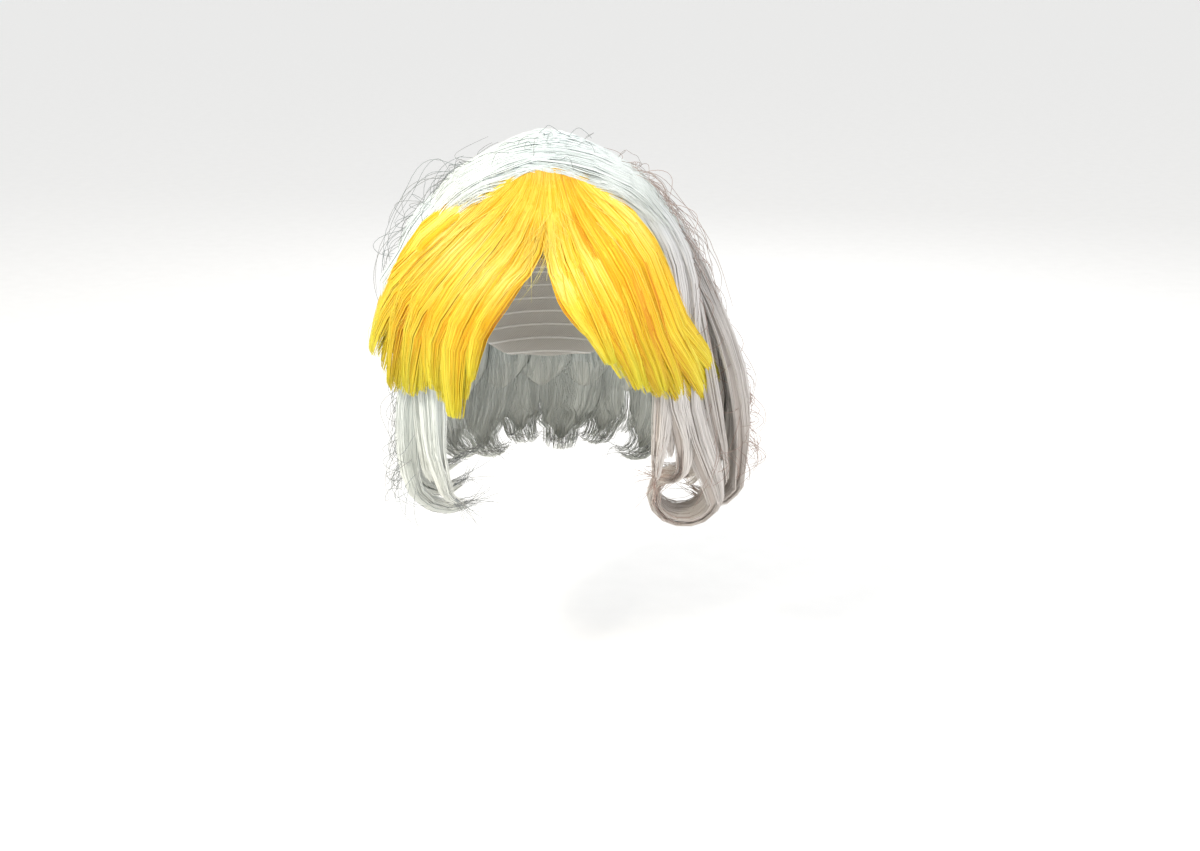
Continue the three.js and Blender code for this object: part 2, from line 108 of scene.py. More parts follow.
RIGHT_SIDE = (
    (52, 0.52, 57, 0.86, 0.06, 58, 1.36, 0.15, 55, 1.66, 0.12, 0.7, 0.75, 0.25, 0.6, 20, 1),
    (65, 0.5, 66, 0.86, 0.14, 62, 1.36, 0.22, 66, 1.65, 0.36, 0.85, 0.95, 0.45, -0.8, 110, 0.8),
    (78, 0.48, 77, 0.84, 0.2, 72, 1.36, 0.3, 90, 1.88, 0.72, 0.95, 1.0, 0.45, 1, 250, 1.5),
    (95, 0.48, 98, 0.84, 0.28, 91, 1.4, 1.0, 99, 1.87, 1.14, 1.05, 1.05, 0.5, -1, 140, 1.1),
    (114, 0.48, 117, 0.84, 0.28, 113, 1.4, 0.87, 116, 1.82, 0.87, 1.0, 1.0, 0.5, 1, 130, 1),
)
BACK = (
    (-133, 0.48, -135, 0.86, 0.5, -135, 1.4, 0.75, -134, 1.76, 0.9, 0.85, 1.0, 0.5, -1, 130, 1),
    (-150, 0.46, -152, 0.86, 0.5, -152, 1.4, 0.85, -151, 1.8, 1.0, 1.0, 1.0, 0.5, 1, 140, 1),
    (-168, 0.46, -169, 0.86, 0.5, -169, 1.4, 0.9, -168, 1.76, 1.05, 1.0, 1.05, 0.5, -1, 130, 1),
    (174, 0.46, 174, 0.86, 0.5, 174, 1.4, 0.9, 175, 1.8, 1.05, 1.0, 1.0, 0.5, 1, 145, 1),
    (156, 0.46, 157, 0.86, 0.5, 157, 1.4, 0.95, 158, 1.76, 1.1, 1.0, 1.05, 0.5, -1, 130, 1),
    (137, 0.48, 139, 0.86, 0.45, 139, 1.4, 1.1, 139, 1.8, 1.2, 1.0, 1.0, 0.5, 1, 135, 1),
)

# Where the crown ends, by azimuth, and how much of its thickness is left at that rim
CROWN_EDGE = ((0, 0.27, 0.5), (34, 0.34, 0.55), (50, 0.5, 0.7), (66, 0.58, 0.88), (180, 0.6, 0.88))

# The crown's outer face: lift as a share of its volume, by station
CROWN_PROFILE = ((0, 0.88), (0.1, 0.79), (0.2, 0.68), (0.34, 0.67), (0.48, 0.8), (0.64, 0.8))

# Outer face of the hair where it starts to hang free, by azimuth: its lift in millimetres
HANGING_LIFT = (
    (-180, 27), (-135, 27), (-118, 26), (-101, 29), (-83, 26), (-65, 17), (-48, 12),
    (48, 12), (57, 15), (77, 23), (98, 28), (117, 27), (139, 27), (180, 27),
)

# The cap's lower edge: height over the band line by azimuth, in millimetres
CAP_EDGE = (
    (0, 36), (32, 31), (50, 0), (62, -24), (76, -24), (90, 4),
    (108, -6.6), (132, -47.5), (156, -63.4), (180, -66),
)

# How much lighter or darker each lock of the fringe is: partly its own tone, partly painted highlight and
# painted shade on it
LEFT_FRINGE_TONES = (0.08, 0.0, 0.12, -0.02, 0.1, 0.14)
RIGHT_FRINGE_TONES = (0.05, -0.1, -0.28, -0.3, -0.1, 0.1, 0.16)

# Loose hairs: where they grow and how many, their height over the hair and their length in millimetres, and
# their tone, grey at 0 and brown at 1: painted tints of the light, cool grey and the brown of warm shade,
# which the shaded right side takes
LOOSE_COLUMNS = (
    "from_azimuth", "to_azimuth", "from_station", "to_station", "count", "height", "length", "tone",
)
LOOSE_HAIR = (
    (-114, -84, 0.3, 1.0, 64, 5, 28, 0.15),
    (-108, -80, 0.4, 0.9, 18, 14, 50, 0.1),
    (-112, -82, 1.0, 1.75, 48, 7, 28, 0.2),
    (-106, -64, 1.5, 1.78, 36, 9, 30, 0.15),
    (-60, 60, 0.03, 0.24, 12, 5, 18, 0.1),
    (74, 108, 0.3, 0.9, 52, 5, 30, 0.75),
    (80, 108, 0.35, 0.8, 12, 11, 46, 0.8),
    (78, 108, 0.9, 1.8, 74, 6, 24, 0.9),
    (88, 100, 1.42, 1.66, 40, 11, 18, 1.0),
    (125, 235, 0.3, 1.75, 24, 4, 22, 0.3),
)

# Long hairs that stand well off the outline: where each leaves the hair, the place over which it stands off
# furthest and its height there in millimetres, and where it ends, at what height
ARC_COLUMNS = (
    "from_azimuth", "from_station", "over_azimuth", "over_station", "over_height",
    "to_azimuth", "to_station", "to_height", "tone",
)
# Their tone is painted as the loose hairs': cool grey at 0, the brown of warm shade at 1
ARC_HAIR = (
    (-92, 0.4, -96, 0.62, 15, -98, 0.98, 1, 0.1),
    (-88, 0.38, -92, 0.55, 19, -97, 0.92, 6, 0.1),
    (-84, 0.44, -94, 0.5, 14, -99, 0.76, 11, 0.15),
    (-80, 0.36, -84, 0.3, 12, -86, 0.2, 27, 0.05),
    (-86, 0.32, -90, 0.36, 9, -92, 0.26, 10, 0.1),
    (-86, 0.2, -88, 0.15, 8, -80, 0.12, 20, 0.1),
    (-94, 0.7, -97, 0.95, 13, -98, 1.2, 3, 0.2),
    (-95, 0.9, -98, 1.12, 9, -97, 1.3, 7, 0.2),
    (-60, 0.08, 20, 0.04, 6, 60, 0.12, 1, 0.1),
    (90, 0.1, 80, 0.14, 6, 86, 0.2, 2, 0.1),
    (92, 0.14, 88, 0.2, 7, 80, 0.16, 3, 0.15),
    (84, 0.4, 88, 0.6, 11, 94, 0.9, 6, 0.8),
    (88, 0.46, 92, 0.7, 13, 96, 1.02, 2, 0.75),
    (90, 0.55, 94, 0.85, 12, 96, 1.1, 10, 0.85),
    (92, 0.3, 90, 0.36, 9, 92, 0.44, 7, 0.6),
    (-92, 1.4, -94, 1.52, 13, -93, 1.66, 2, 0.3),
    (-94, 1.45, -96, 1.6, 9, -92, 1.74, 5, 0.3),
    (92, 1.2, 96, 1.4, 9, 98, 1.6, 4, 0.9),
)

# Colours of the strands from root to tip: painted light where they catch it, their plain colour, and painted
# shade in the depth. The pale lemon band near 0.3 of the yellow light and middle ramps is a painted
# highlight
YELLOW_LIGHT = ((0, "ffe27a"), (0.08, "ffe24c"), (0.3, "fff790"), (0.55, "ffee50"), (1, "f2ee54"))
YELLOW_MIDDLE = ((0, "f4c63c"), (0.08, "fbc41c"), (0.3, "ffd626"), (0.6, "fdca16"), (1, "e4d628"))
YELLOW_DARK = ((0, "c9a040"), (0.08, "dc9c08"), (0.35, "ea9802"), (0.7, "df8802"), (1, "cdb41c"))
# The cool tint of the ice ramps is a painted tint of light: the white hair as it looks on its lit side
ICE_LIGHT = ((0, "eef5f5"), (0.5, "f2f7f5"), (1, "f1f2eb"))
ICE_MIDDLE = ((0, "dde8e8"), (0.5, "e3eae7"), (1, "e3e5dd"))
ICE_DARK = ((0, "bccacb"), (0.5, "c2cbc9"), (1, "bebfb8"))
# The warm ramps are the same white hair painted in shade: its warm grey on the shaded right side
WARM_LIGHT = ((0, "e9efef"), (0.3, "ece9e6"), (1, "e8e2db"))
WARM_MIDDLE = ((0, "d8e0e0"), (0.3, "dcd8d4"), (1, "d9d0c8"))
WARM_DARK = ((0, "b8c3c4"), (0.3, "bfb7b2"), (1, "b9aca3"))
# Colours of the loose hairs: painted brown of warm shade, painted cool grey, and between
LOOSE_WARM_SHADE = ((0, "b59a8e"), (1, "a8897c"))
LOOSE_MIDDLE = ((0, "a4a09c"), (1, "9c9690"))
LOOSE_GREY = ((0, "9aa3a4"), (1, "7f8889"))

# A strand's tone is the column of its map, and root to tip runs up it
TONE_COLUMNS = 64

# Inputs of the strands' Geometry Nodes group: name, kind of socket and value where none is given
STRAND_INPUTS = (
    ("Guides", "NodeSocketGeometry", None),
    ("Strands", "NodeSocketInt", 60),
    ("Radius", "NodeSocketFloat", 0.0004),
    ("Tip", "NodeSocketFloat", 0.5),
    ("Uneven", "NodeSocketFloat", 0.1),
    ("Frizz", "NodeSocketFloat", 0.001),
    ("Ripple", "NodeSocketFloat", 0.0),
    ("Wisps", "NodeSocketFloat", 0.5),
    ("Tone Spread", "NodeSocketFloat", 0.4),
    ("Seed", "NodeSocketInt", 1),
    ("Material", "NodeSocketMaterial", None),
)

# What the strands carry only while they grow
GUIDE_ATTRIBUTES = (
    "across", "inward", "along", "tone", "spread", "depth", "shade", "phase", "reach", "stray", "round_it",
)

# Stations at which the hair hangs free of the crown, and at which its lower lift holds
HANG_STATION = 0.86
LOW_STATION = 1.4

# Points along a waved lock's path and a plain one's, and degrees of curl to a point
WAVED_POINTS = 14
PLAIN_POINTS = 8
CURL_STEP = 26

# The share of a lock that its under-layer fills, for the locks and for the rows between them, the share over
# which it closes, and how much deeper the rows between lie
LOCK_FILL = 0.93
BETWEEN_FILL = 0.82
CLOSING = 0.12
BETWEEN_DEPTH = 2 * MM

# Loose hairs may stand this far out of the solids' box, and frayed ones this far past a lock
LOOSE_MARGIN = 12 * MM
FRAYED_REACH = 13 * MM
FRAYED_PER_LOCK = 22

# Name, power as a share of the key's or the fill's, size, place and tint of each lamp
LAMPS = (
    ("key", 1.0, 0.3, (-0.75, -0.85, 0.95), "fff8ea"),
    ("fill", 1.0, 1.2, (1.2, -1.0, 0.1), "f6f7ff"),
    ("rim", 0.6, 0.8, (0.3, 1.2, 0.9), "ffffff"),
)
LAMP_AIM = (0.01, 0.0, -0.03)
CAMERA_PLACE = (0.0, -0.9744, 0.2250)
CAMERA_AIM = (0.03496, 0.0, -0.09523)
FLOOR_REACH = 14.0


def colour(text):
    """A colour as Blender's linear numbers, from its six-digit screen value."""
    parts = (int(text[i : i + 2], 16) / 255 for i in (0, 2, 4))
    linear = [c / 12.92 if c <= 0.04045 else ((c + 0.055) / 1.055) ** 2.4 for c in parts]
    return (*linear, 1.0)


class WigHead(bpy.types.PropertyGroup):
    """Sizes of the head form and the cap on it."""

    half_width: bpy.props.FloatProperty(
        name="Half Width", description="Half the width at the band line", default=0.076, unit="LENGTH"
    )
    half_depth: bpy.props.FloatProperty(
        name="Half Depth", description="Half the depth at the band line", default=0.096, unit="LENGTH"
    )
    crown_height: bpy.props.FloatProperty(
        name="Crown Height", description="Height above the band line", default=0.086, unit="LENGTH"
    )
    hair_fall: bpy.props.FloatProperty(
        name="Hair Fall", description="From the band line down to station 2", default=0.165, unit="LENGTH"
    )
    cap_wall: bpy.props.FloatProperty(
        name="Cap Wall", description="Thickness of the cap's cloth", default=0.0015, unit="LENGTH"
    )
    seat_gap: bpy.props.FloatProperty(
        name="Seat Gap", description="Space from the cap to the hair on it", default=0.0007, unit="LENGTH"
    )
    nape_tuck: bpy.props.FloatProperty(
        name="Nape Tuck", description="How far the cap's nape leans in", default=0.011, unit="LENGTH"
    )


class WigWhite(bpy.types.PropertyGroup):
    """Sizes of the white hair."""

    crown_volume: bpy.props.FloatProperty(
        name="Crown Volume", description="Height of the hair on top", default=0.022, unit="LENGTH"
    )
    left_volume: bpy.props.FloatProperty(
        name="Left Volume", description="How far the left side stands out", default=0.017, unit="LENGTH"
    )
    right_volume: bpy.props.FloatProperty(
        name="Right Volume", description="How far the right side stands out", default=0.046, unit="LENGTH"
    )
    back_volume: bpy.props.FloatProperty(
        name="Back Volume", description="How far the back stands out", default=0.024, unit="LENGTH"
    )
    side_width: bpy.props.FloatProperty(
        name="Side Lock Width", description="Width of a lock at the sides", default=0.038, unit="LENGTH"
    )
    back_width: bpy.props.FloatProperty(
        name="Back Lock Width", description="Width of a lock at the back", default=0.048, unit="LENGTH"
    )
    thickness: bpy.props.FloatProperty(
        name="Lock Thickness", description="Thickness of a lock", default=0.013, unit="LENGTH"
    )
    curl_radius: bpy.props.FloatProperty(
        name="Curl Radius", description="Radius of the curled ends", default=0.012, unit="LENGTH"
    )
    wave_depth: bpy.props.FloatProperty(
        name="Wave Depth", description="Sideways sway of a lock", default=0.006, unit="LENGTH"
    )
    strand: bpy.props.FloatProperty(
        name="Strand", description="Radius of a strand", default=0.0003, unit="LENGTH", precision=5
    )
    frizz: bpy.props.FloatProperty(
        name="Frizz", description="How far strands stray from their lock", default=0.0013, unit="LENGTH"
    )


class WigYellow(bpy.types.PropertyGroup):
    """Sizes of the yellow fringe."""

    volume: bpy.props.FloatProperty(
        name="Volume", description="How far the fringe stands out", default=0.020, unit="LENGTH"
    )
    width: bpy.props.FloatProperty(
        name="Lock Width", description="Width of a lock", default=0.034, unit="LENGTH"
    )
    thickness: bpy.props.FloatProperty(
        name="Lock Thickness", description="Thickness of a lock", default=0.011, unit="LENGTH"
    )
    strand: bpy.props.FloatProperty(
        name="Strand", description="Radius of a strand", default=0.00028, unit="LENGTH", precision=5
    )
    frizz: bpy.props.FloatProperty(
        name="Frizz", description="How far strands stray from their lock", default=0.0006, unit="LENGTH"
    )


class WigStage(bpy.types.PropertyGroup):
    """Light and floor."""

    key: bpy.props.FloatProperty(
        name="Key Light", description="Power of the key light", default=15.0, unit="POWER"
    )
    fill: bpy.props.FloatProperty(
        name="Fill Light", description="Power of the fill light", default=9.0, unit="POWER"
    )
    sky: bpy.props.FloatProperty(
        name="Surroundings", description="Strength of the even light all round", default=0.88
    )
    floor_drop: bpy.props.FloatProperty(
        name="Floor Drop", description="Floor below the band line", default=0.30, unit="LENGTH"
    )


def unit(vectors):
    """The vectors at length one."""
    return vectors / np.maximum(np.linalg.norm(vectors, axis=-1, keepdims=True), 1e-12)


def lookup(table, at, column=1):
    """A column of a table at a value of its first column, eased from row to row."""
    rows = np.array(table, float)
    at = np.asarray(at, float)
    after = np.clip(np.searchsorted(rows[:, 0], at, side="left"), 1, len(rows) - 1)
    low = rows[after - 1]
    high = rows[after]
    share = np.clip((at - low[..., 0]) / (high[..., 0] - low[..., 0]), 0, 1)
    share = share * share * (3 - 2 * share)
    return low[..., column] + (high[..., column] - low[..., column]) * share


def along_knots(knots, t):
    """Points of a centripetal Catmull-Rom curve through the knots, for t from 0 to 1."""
    last = len(knots) - 1
    at = np.asarray(t, float) * last
    piece = np.minimum(at.astype(int), last - 1)
    w = (at - piece)[:, None]
    ends = np.concatenate([[2 * knots[0] - knots[1]], knots, [2 * knots[-1] - knots[-2]]])
    a, b, c, d = (ends[piece + i] for i in range(4))
    gap = [np.sqrt(np.linalg.norm(q - p, axis=1, keepdims=True)) for p, q in ((a, b), (b, c), (c, d))]
    middle = np.where(gap[1] < 1e-5, 1.0, gap[1])
    first = np.where(gap[0] < 1e-5, middle, gap[0])
    third = np.where(gap[2] < 1e-5, middle, gap[2])
    slope_b = ((b - a) / first - (c - a) / (first + middle) + (c - b) / middle) * middle
    slope_c = ((c - b) / middle - (d - b) / (middle + third) + (d - c) / third) * middle
    square = -3 * b + 3 * c - 2 * slope_b - slope_c
    cube = 2 * b - 2 * c + slope_b + slope_c
    return b + slope_b * w + square * w**2 + cube * w**3


class HeadForm:
    """The head under the cap, and the places on it."""

    def __init__(self, size):
        self.radii = np.array([size.half_width, size.half_depth, size.crown_height])
        self.fall = size.hair_fall
        self.on_cap = size.cap_wall + size.seat_gap

    def surface(self, azimuth, station):
        """Points and outward normals at azimuths in degrees and at stations."""
        turn = np.radians(azimuth)
        station = np.asarray(station, float)
        polar = np.minimum(station, 1.0) * (math.pi / 2)
        ring = np.sin(polar)
        height = np.where(station <= 1.0, self.radii[2] * np.cos(polar), (1.0 - station) * self.fall)
        x = self.radii[0] * ring * np.sin(turn)
        y = -self.radii[1] * ring * np.cos(turn)
        x, y, height = np.broadcast_arrays(x, y, height)
        points = np.stack([x, y, height], -1)
        normals = points / self.radii**2
        normals[..., 2] = np.maximum(normals[..., 2], 0)
        return points, unit(normals)

    def on(self, azimuth, station, lift):
        """Points at that lift over the head."""
        points, normals = self.surface(azimuth, station)
        return points + normals * np.asarray(lift)[..., None]

    def place_of(self, points):
        """Azimuths in degrees and stations under the points."""
        x, y, z = (points / self.radii).T
        azimuth = np.degrees(np.arctan2(x, -y))
        station = np.where(
            z <= 0, 1 - points[:, 2] / self.fall, np.arctan2(np.hypot(x, y), z) / (math.pi / 2)
        )
        return azimuth, station


class Lock:
    """One lock of hair: places along it, across it and up through its rounded thickness."""

    WAVE_TURNS = 3 * math.pi
    EDGE = 1.2 * MM
    ROOT_LIFT = 2 * MM
    SOFTENING = 2 * MM

    def __init__(self, head, section, row):
        self.head = head
        self.row = dict(zip(LOCK_COLUMNS, row))
        self.section = section
        stops = ("root", "over", "low", "tip")
        azimuths = np.array([self.row[f"{stop}_azimuth"] for stop in stops], float)
        stations = np.array([self.row[f"{stop}_station"] for stop in stops], float)
        shares = np.array([self.row.get(f"{stop}_lift", 0) for stop in stops], float)
        self.route = head.surface(azimuths, stations)[0]
        raised = head.on_cap + np.maximum(self.ROOT_LIFT, shares * section["volume"])
        self.lifts = np.stack([raised, raised * 0, raised * 0], 1)
        self.radius = self.row["round"] * section["curl_radius"]
        self.turn = math.radians(self.row["curl"])
        steps = along_knots(self.route, np.linspace(0, 1, 200))
        self.path_length = np.linalg.norm(np.diff(steps, axis=0), axis=1).sum()
        self.length = self.path_length + self.turn * self.radius
        self.path_share = self.path_length / self.length

    def half_width(self, s):
        """Half the lock's width, narrower at its root and drawn in towards its tip."""
        opened = self.section["root_share"] + (1 - self.section["root_share"]) * np.minimum(1, s * 3)
        drawn = 1 - (1 - self.row["taper"]) * np.maximum(0, (s - 0.45) / 0.55) ** 1.5
        return self.section["width"] / 2 * self.row["width"] * opened * drawn

    def outer(self, s, u):
        """Height of the rounded outer face over the flat inner one."""
        opened = self.section["root_share"] + (1 - self.section["root_share"]) * np.minimum(1, s * 2.5)
        drawn = 1 - (0.8 - 0.4 * self.row["taper"]) * np.maximum(0, (s - 0.5) / 0.5) ** 2
        thickness = self.section["thickness"] * self.row["thickness"] * opened * drawn
        return self.EDGE + (thickness - self.EDGE) * np.sqrt(np.maximum(0, 1 - u * u))

    def _centre(self, t):
        """Azimuth, station and lift along the route, and the sideways sway off it."""
        azimuth, station = self.head.place_of(along_knots(self.route, t))
        sway = self.row["wave"] * self.section["wave_depth"] * np.sin(t * self.WAVE_TURNS) * t
        bulge = 0.5 * (np.sqrt(sway**2 + self.SOFTENING**2) - self.SOFTENING)
        lift = along_knots(self.lifts, t)[:, 0] + bulge
        return azimuth, station, lift, sway

    def _frame(self, t):
        """The centre, and there the swayed point on the head, its normal, and the ways sideways and down."""
        step = 1e-3
        azimuth, station, lift, sway = self._centre(t)
        ahead = self.head.surface(*self._centre(np.minimum(1, t + step))[:2])[0]
        behind = self.head.surface(*self._centre(np.maximum(0, t - step))[:2])[0]
        point, normal = self.head.surface(azimuth, station)
        side = unit(np.cross(unit(ahead - behind), normal))
        down = unit(np.cross(normal, side))
        return azimuth, station, lift, sway[:, None], point + side * sway[:, None], normal, side, down

    def _on_path(self, t, s, u, rise):
        """Points of the part that lies along the head."""
        _, _, lift, _, point, _, side, _ = self._frame(t)
        azimuth, station = self.head.place_of(point + side * (u * self.half_width(s))[:, None])
        return self.head.on(azimuth, station, lift + rise)

    def at(self, s, u, rise):
        """Points at shares s of the length, u from -1 to 1 across, and rise over the inner face."""
        s = np.asarray(s, float)
        u = np.broadcast_to(np.asarray(u, float), s.shape)
        rise = np.broadcast_to(np.asarray(rise, float), s.shape)
        points = self._on_path(np.clip(s / self.path_share, 0, 1), s, u, rise)
        curled = s > self.path_share + 1e-9
        if self.turn > 0 and curled.any():
            share, across, out_by = s[curled], u[curled], rise[curled]
            one = np.ones_like(share)
            azimuth, station, lift, sway, _, normal, side, down = self._frame(one)
            start = self.head.on(azimuth, station, lift) + side * sway
            inner = self._on_path(one, one * self.path_share, across, one * 0)
            bow = ((inner - start) * normal).sum(1)
            turn = self.turn * (share - self.path_share) / (1 - self.path_share)
            cos, sin = np.cos(turn)[:, None], np.sin(turn)[:, None]
            middle = start + down * sin * self.radius - normal * (1 - cos) * self.radius
            out = normal * cos + down * sin
            width = self.half_width(share)
            bow = bow * (width / self.half_width(one * self.path_share)) ** 2
            points[curled] = middle + side * (across * width)[:, None] + out * (out_by + bow)[:, None]
        return points


class Wire:
    """An output socket of a node tree, on which sums are written as ordinary expressions."""

    def __init__(self, nodes, socket):
        self.nodes = nodes
        self.socket = socket

    def _sum(self, operation, *terms):
        """A Math node on these terms."""
        return self.nodes.add("ShaderNodeMath", {"operation": operation}, dict(enumerate(terms)))

    def __add__(self, other):
        return self._sum("ADD", self, other)

    def __sub__(self, other):
        return self._sum("SUBTRACT", self, other)

    def __rsub__(self, other):
        return self._sum("SUBTRACT", other, self)

    def __mul__(self, other):
        return self._sum("MULTIPLY", self, other)

    def __truediv__(self, other):
        return self._sum("DIVIDE", self, other)

    def __pow__(self, other):
        return self._sum("POWER", self, other)

    __radd__ = __add__
    __rmul__ = __mul__

    def floor(self):
        return self._sum("FLOOR", self)

    def sine(self):
        return self._sum("SINE", self)

    def clamped(self, low=0.0, high=1.0):
        return self._sum("MINIMUM", self._sum("MAXIMUM", self, low), high)


class Nodes:
    """Builds a node tree, a material's or a Geometry Nodes group's, out of wires."""

    def __init__(self, tree):
        self.tree = tree

    def add(self, kind, settings=None, inputs=None, output=None):
        """A node of that kind, its settings made before its sockets are fed. Gives one of its outputs."""
        node = self.tree.nodes.new(kind)
        for name, value in (settings or {}).items():
            if name == "stops":
                self._set_stops(node.color_ramp, value)
            else:
                setattr(node, name, value)
        for name, value in (inputs or {}).items():
            self.feed(self._socket(node.inputs, name), value)
        outputs = [socket for socket in node.outputs if socket.enabled]
        if not outputs:
            return node
        return Wire(self, self._socket(node.outputs, output) if output else outputs[0])

    @staticmethod
    def _socket(sockets, name):
        if isinstance(name, int):
            return sockets[name]
        return next(socket for socket in sockets if socket.enabled and socket.name == name)

    @staticmethod
    def _set_stops(ramp, stops):
        while len(ramp.elements) < len(stops):
            ramp.elements.new(0.5)
        for element, (place, value) in zip(ramp.elements, stops):
            element.position = place
            element.color = value

    def feed(self, socket, value):
        """Links a wire to a socket, or sets the socket to a plain value."""
        if isinstance(value, Wire):
            self.tree.links.new(value.socket, socket)
        else:
            socket.default_value = value

    def vector(self, operation, *terms, scale=None):
        """A Vector Math node on these terms."""
        inputs = dict(enumerate(terms))
        if scale is not None:
            inputs["Scale"] = scale
        return self.add("ShaderNodeVectorMath", {"operation": operation}, inputs)

    def parts(self, vector):
        """The X, Y and Z of a vector as three wires."""
        first = self.add("ShaderNodeSeparateXYZ", None, {"Vector": vector})
        return [Wire(self, output) for output in first.socket.node.outputs]

    def mixed(self, factor, first, second):
        """Two colours mixed by a factor."""
        inputs = {"Factor": factor, "A": first, "B": second}
        return self.add("ShaderNodeMix", {"data_type": "RGBA"}, inputs)


def strand_tree():
    """The Geometry Nodes group that turns guides into strands, each a closed three-sided tube.

    A guide carries its half spread across, its depth inwards, its share along and its tone.
    """
    tree = bpy.data.node_groups.new("hair_strands", "GeometryNodeTree")
    for name, kind, default in STRAND_INPUTS:
        socket = tree.interface.new_socket(name=name, in_out="INPUT", socket_type=kind)
        if default is not None:
            socket.default_value = default
    tree.interface.new_socket(name="Strands", in_out="OUTPUT", socket_type="NodeSocketGeometry")
    nodes = Nodes(tree)
    group = tree.nodes.new("NodeGroupInput")
    given = {name: Wire(nodes, group.outputs[name]) for name, _, _ in STRAND_INPUTS}

    def read(name, kind="FLOAT"):
        """A value that the guides or the strands carry."""
        settings = {"data_type": kind}
        return nodes.add("GeometryNodeInputNamedAttribute", settings, {"Name": name}, "Attribute")

    def store(geometry, name, value, kind="FLOAT", domain="CURVE"):
        """The geometry with a value put on it."""
        return nodes.add(
            "GeometryNodeStoreNamedAttribute",
            {"data_type": kind, "domain": domain},
            {"Geometry": geometry, "Name": name, "Value": value},
        )

    def chance(low, high, step):
        """A random number, one for each strand."""
        inputs = {"Min": low, "Max": high, "Seed": given["Seed"] + step}
        return nodes.add("FunctionNodeRandomValue", {"data_type": "FLOAT"}, inputs)

    curves = nodes.add("GeometryNodeMeshToCurve", None, {"Mesh": given["Guides"]})
    curves = nodes.add(
        "GeometryNodeDuplicateElements", {"domain": "SPLINE"},
        {"Geometry": curves, "Amount": given["Strands"]}, "Geometry",
    )
    for step, (name, low, high) in enumerate((
        ("spread", -1.0, 1.0), ("depth", 0.0, 1.0), ("shade", -0.5, 0.5),
        ("phase", 0.0, 1.0), ("reach", 0.0, 1.0), ("stray", 0.0, 1.0),
    )):
        curves = store(curves, name, chance(low, high, step))
    curves = nodes.add(
        "GeometryNodeTrimCurve", {"mode": "FACTOR"},
        {"Curve": curves, "End": 1.0 - given["Uneven"] * read("reach") ** 2.0},
    )

    along = read("along")
    wisp_place = nodes.add(
        "ShaderNodeCombineXYZ", None,
        {"X": read("spread") * 2.6 + read("tone") * 97.0, "Y": along * 2.0, "Z": read("depth") * 1.3},
    )
    wisp = nodes.add("ShaderNodeTexNoise", None, {"Vector": wisp_place, "Scale": 1.0, "Detail": 2.0}, "Fac")
    gathered = read("spread") + (wisp - 0.5) * given["Wisps"] * (along * 2.0 + 0.6).clamped(0.0, 1.6)
    spread = nodes.vector("SCALE", read("across", "FLOAT_VECTOR"), scale=gathered)
    sunk = nodes.vector("SCALE", read("inward", "FLOAT_VECTOR"), scale=read("depth") ** 1.6)
    own_place = nodes.add(
        "ShaderNodeCombineXYZ", None,
        {"X": read("phase") * 531.0, "Y": along * 3.2, "Z": read("spread") * 17.0},
    )
    noise = {"Vector": own_place, "Scale": 1.0, "Detail": 1.5}
    wander = nodes.add("ShaderNodeTexNoise", None, noise, "Color")
    wander = nodes.vector("SUBTRACT", wander, (0.5, 0.5, 0.5))
    wildness = 0.35 + 5.0 * read("stray") ** 14.0
    wander = nodes.vector("SCALE", wander, scale=given["Frizz"] * wildness * (along * 2.0 + 0.5))
    ripple = (along * 21.0 + read("phase") * 6.3).sine() * given["Ripple"] * along
    ripple = nodes.vector("SCALE", nodes.vector("NORMALIZE", read("across", "FLOAT_VECTOR")), scale=ripple)
    offset = nodes.vector("ADD", nodes.vector("ADD", spread, sunk), nodes.vector("ADD", wander, ripple))
    curves = nodes.add("GeometryNodeSetPosition", None, {"Geometry": curves, "Offset": offset})

    own_along = nodes.add("GeometryNodeSplineParameter", None, None, "Factor")
    thickness = given["Radius"] * (1.0 - (1.0 - given["Tip"]) * own_along**3.0)
    three_sides = {"Resolution": 3, "Radius": 1.0}
    circle = nodes.add("GeometryNodeCurvePrimitiveCircle", {"mode": "RADIUS"}, three_sides, "Curve")
    index = nodes.add("GeometryNodeInputIndex")
    circle = store(circle, "round_it", index * 0.5, domain="POINT")
    tubes = nodes.add(
        "GeometryNodeCurveToMesh", None,
        {"Curve": curves, "Profile Curve": circle, "Scale": thickness, "Fill Caps": True},
    )
    tone = (read("tone") + read("shade") * given["Tone Spread"]).clamped(0.0, 0.999)
    column = (tone * TONE_COLUMNS).floor()
    place = nodes.add(
        "ShaderNodeCombineXYZ", None,
        {"X": (column + 0.3 + read("round_it") * 0.4) / TONE_COLUMNS, "Y": along * 0.98 + 0.01},
    )
    tubes = store(tubes, "OFBake", place, "FLOAT2", "CORNER")
    tubes = nodes.add("GeometryNodeSetShadeSmooth", None, {"Geometry": tubes})
    tubes = nodes.add("GeometryNodeSetMaterial", None, {"Geometry": tubes, "Material": given["Material"]})
    tubes = nodes.add("GeometryNodeRealizeInstances", None, {"Geometry": tubes})
    output = tree.nodes.new("NodeGroupOutput")
    nodes.feed(output.inputs["Strands"], tubes)
    return tree


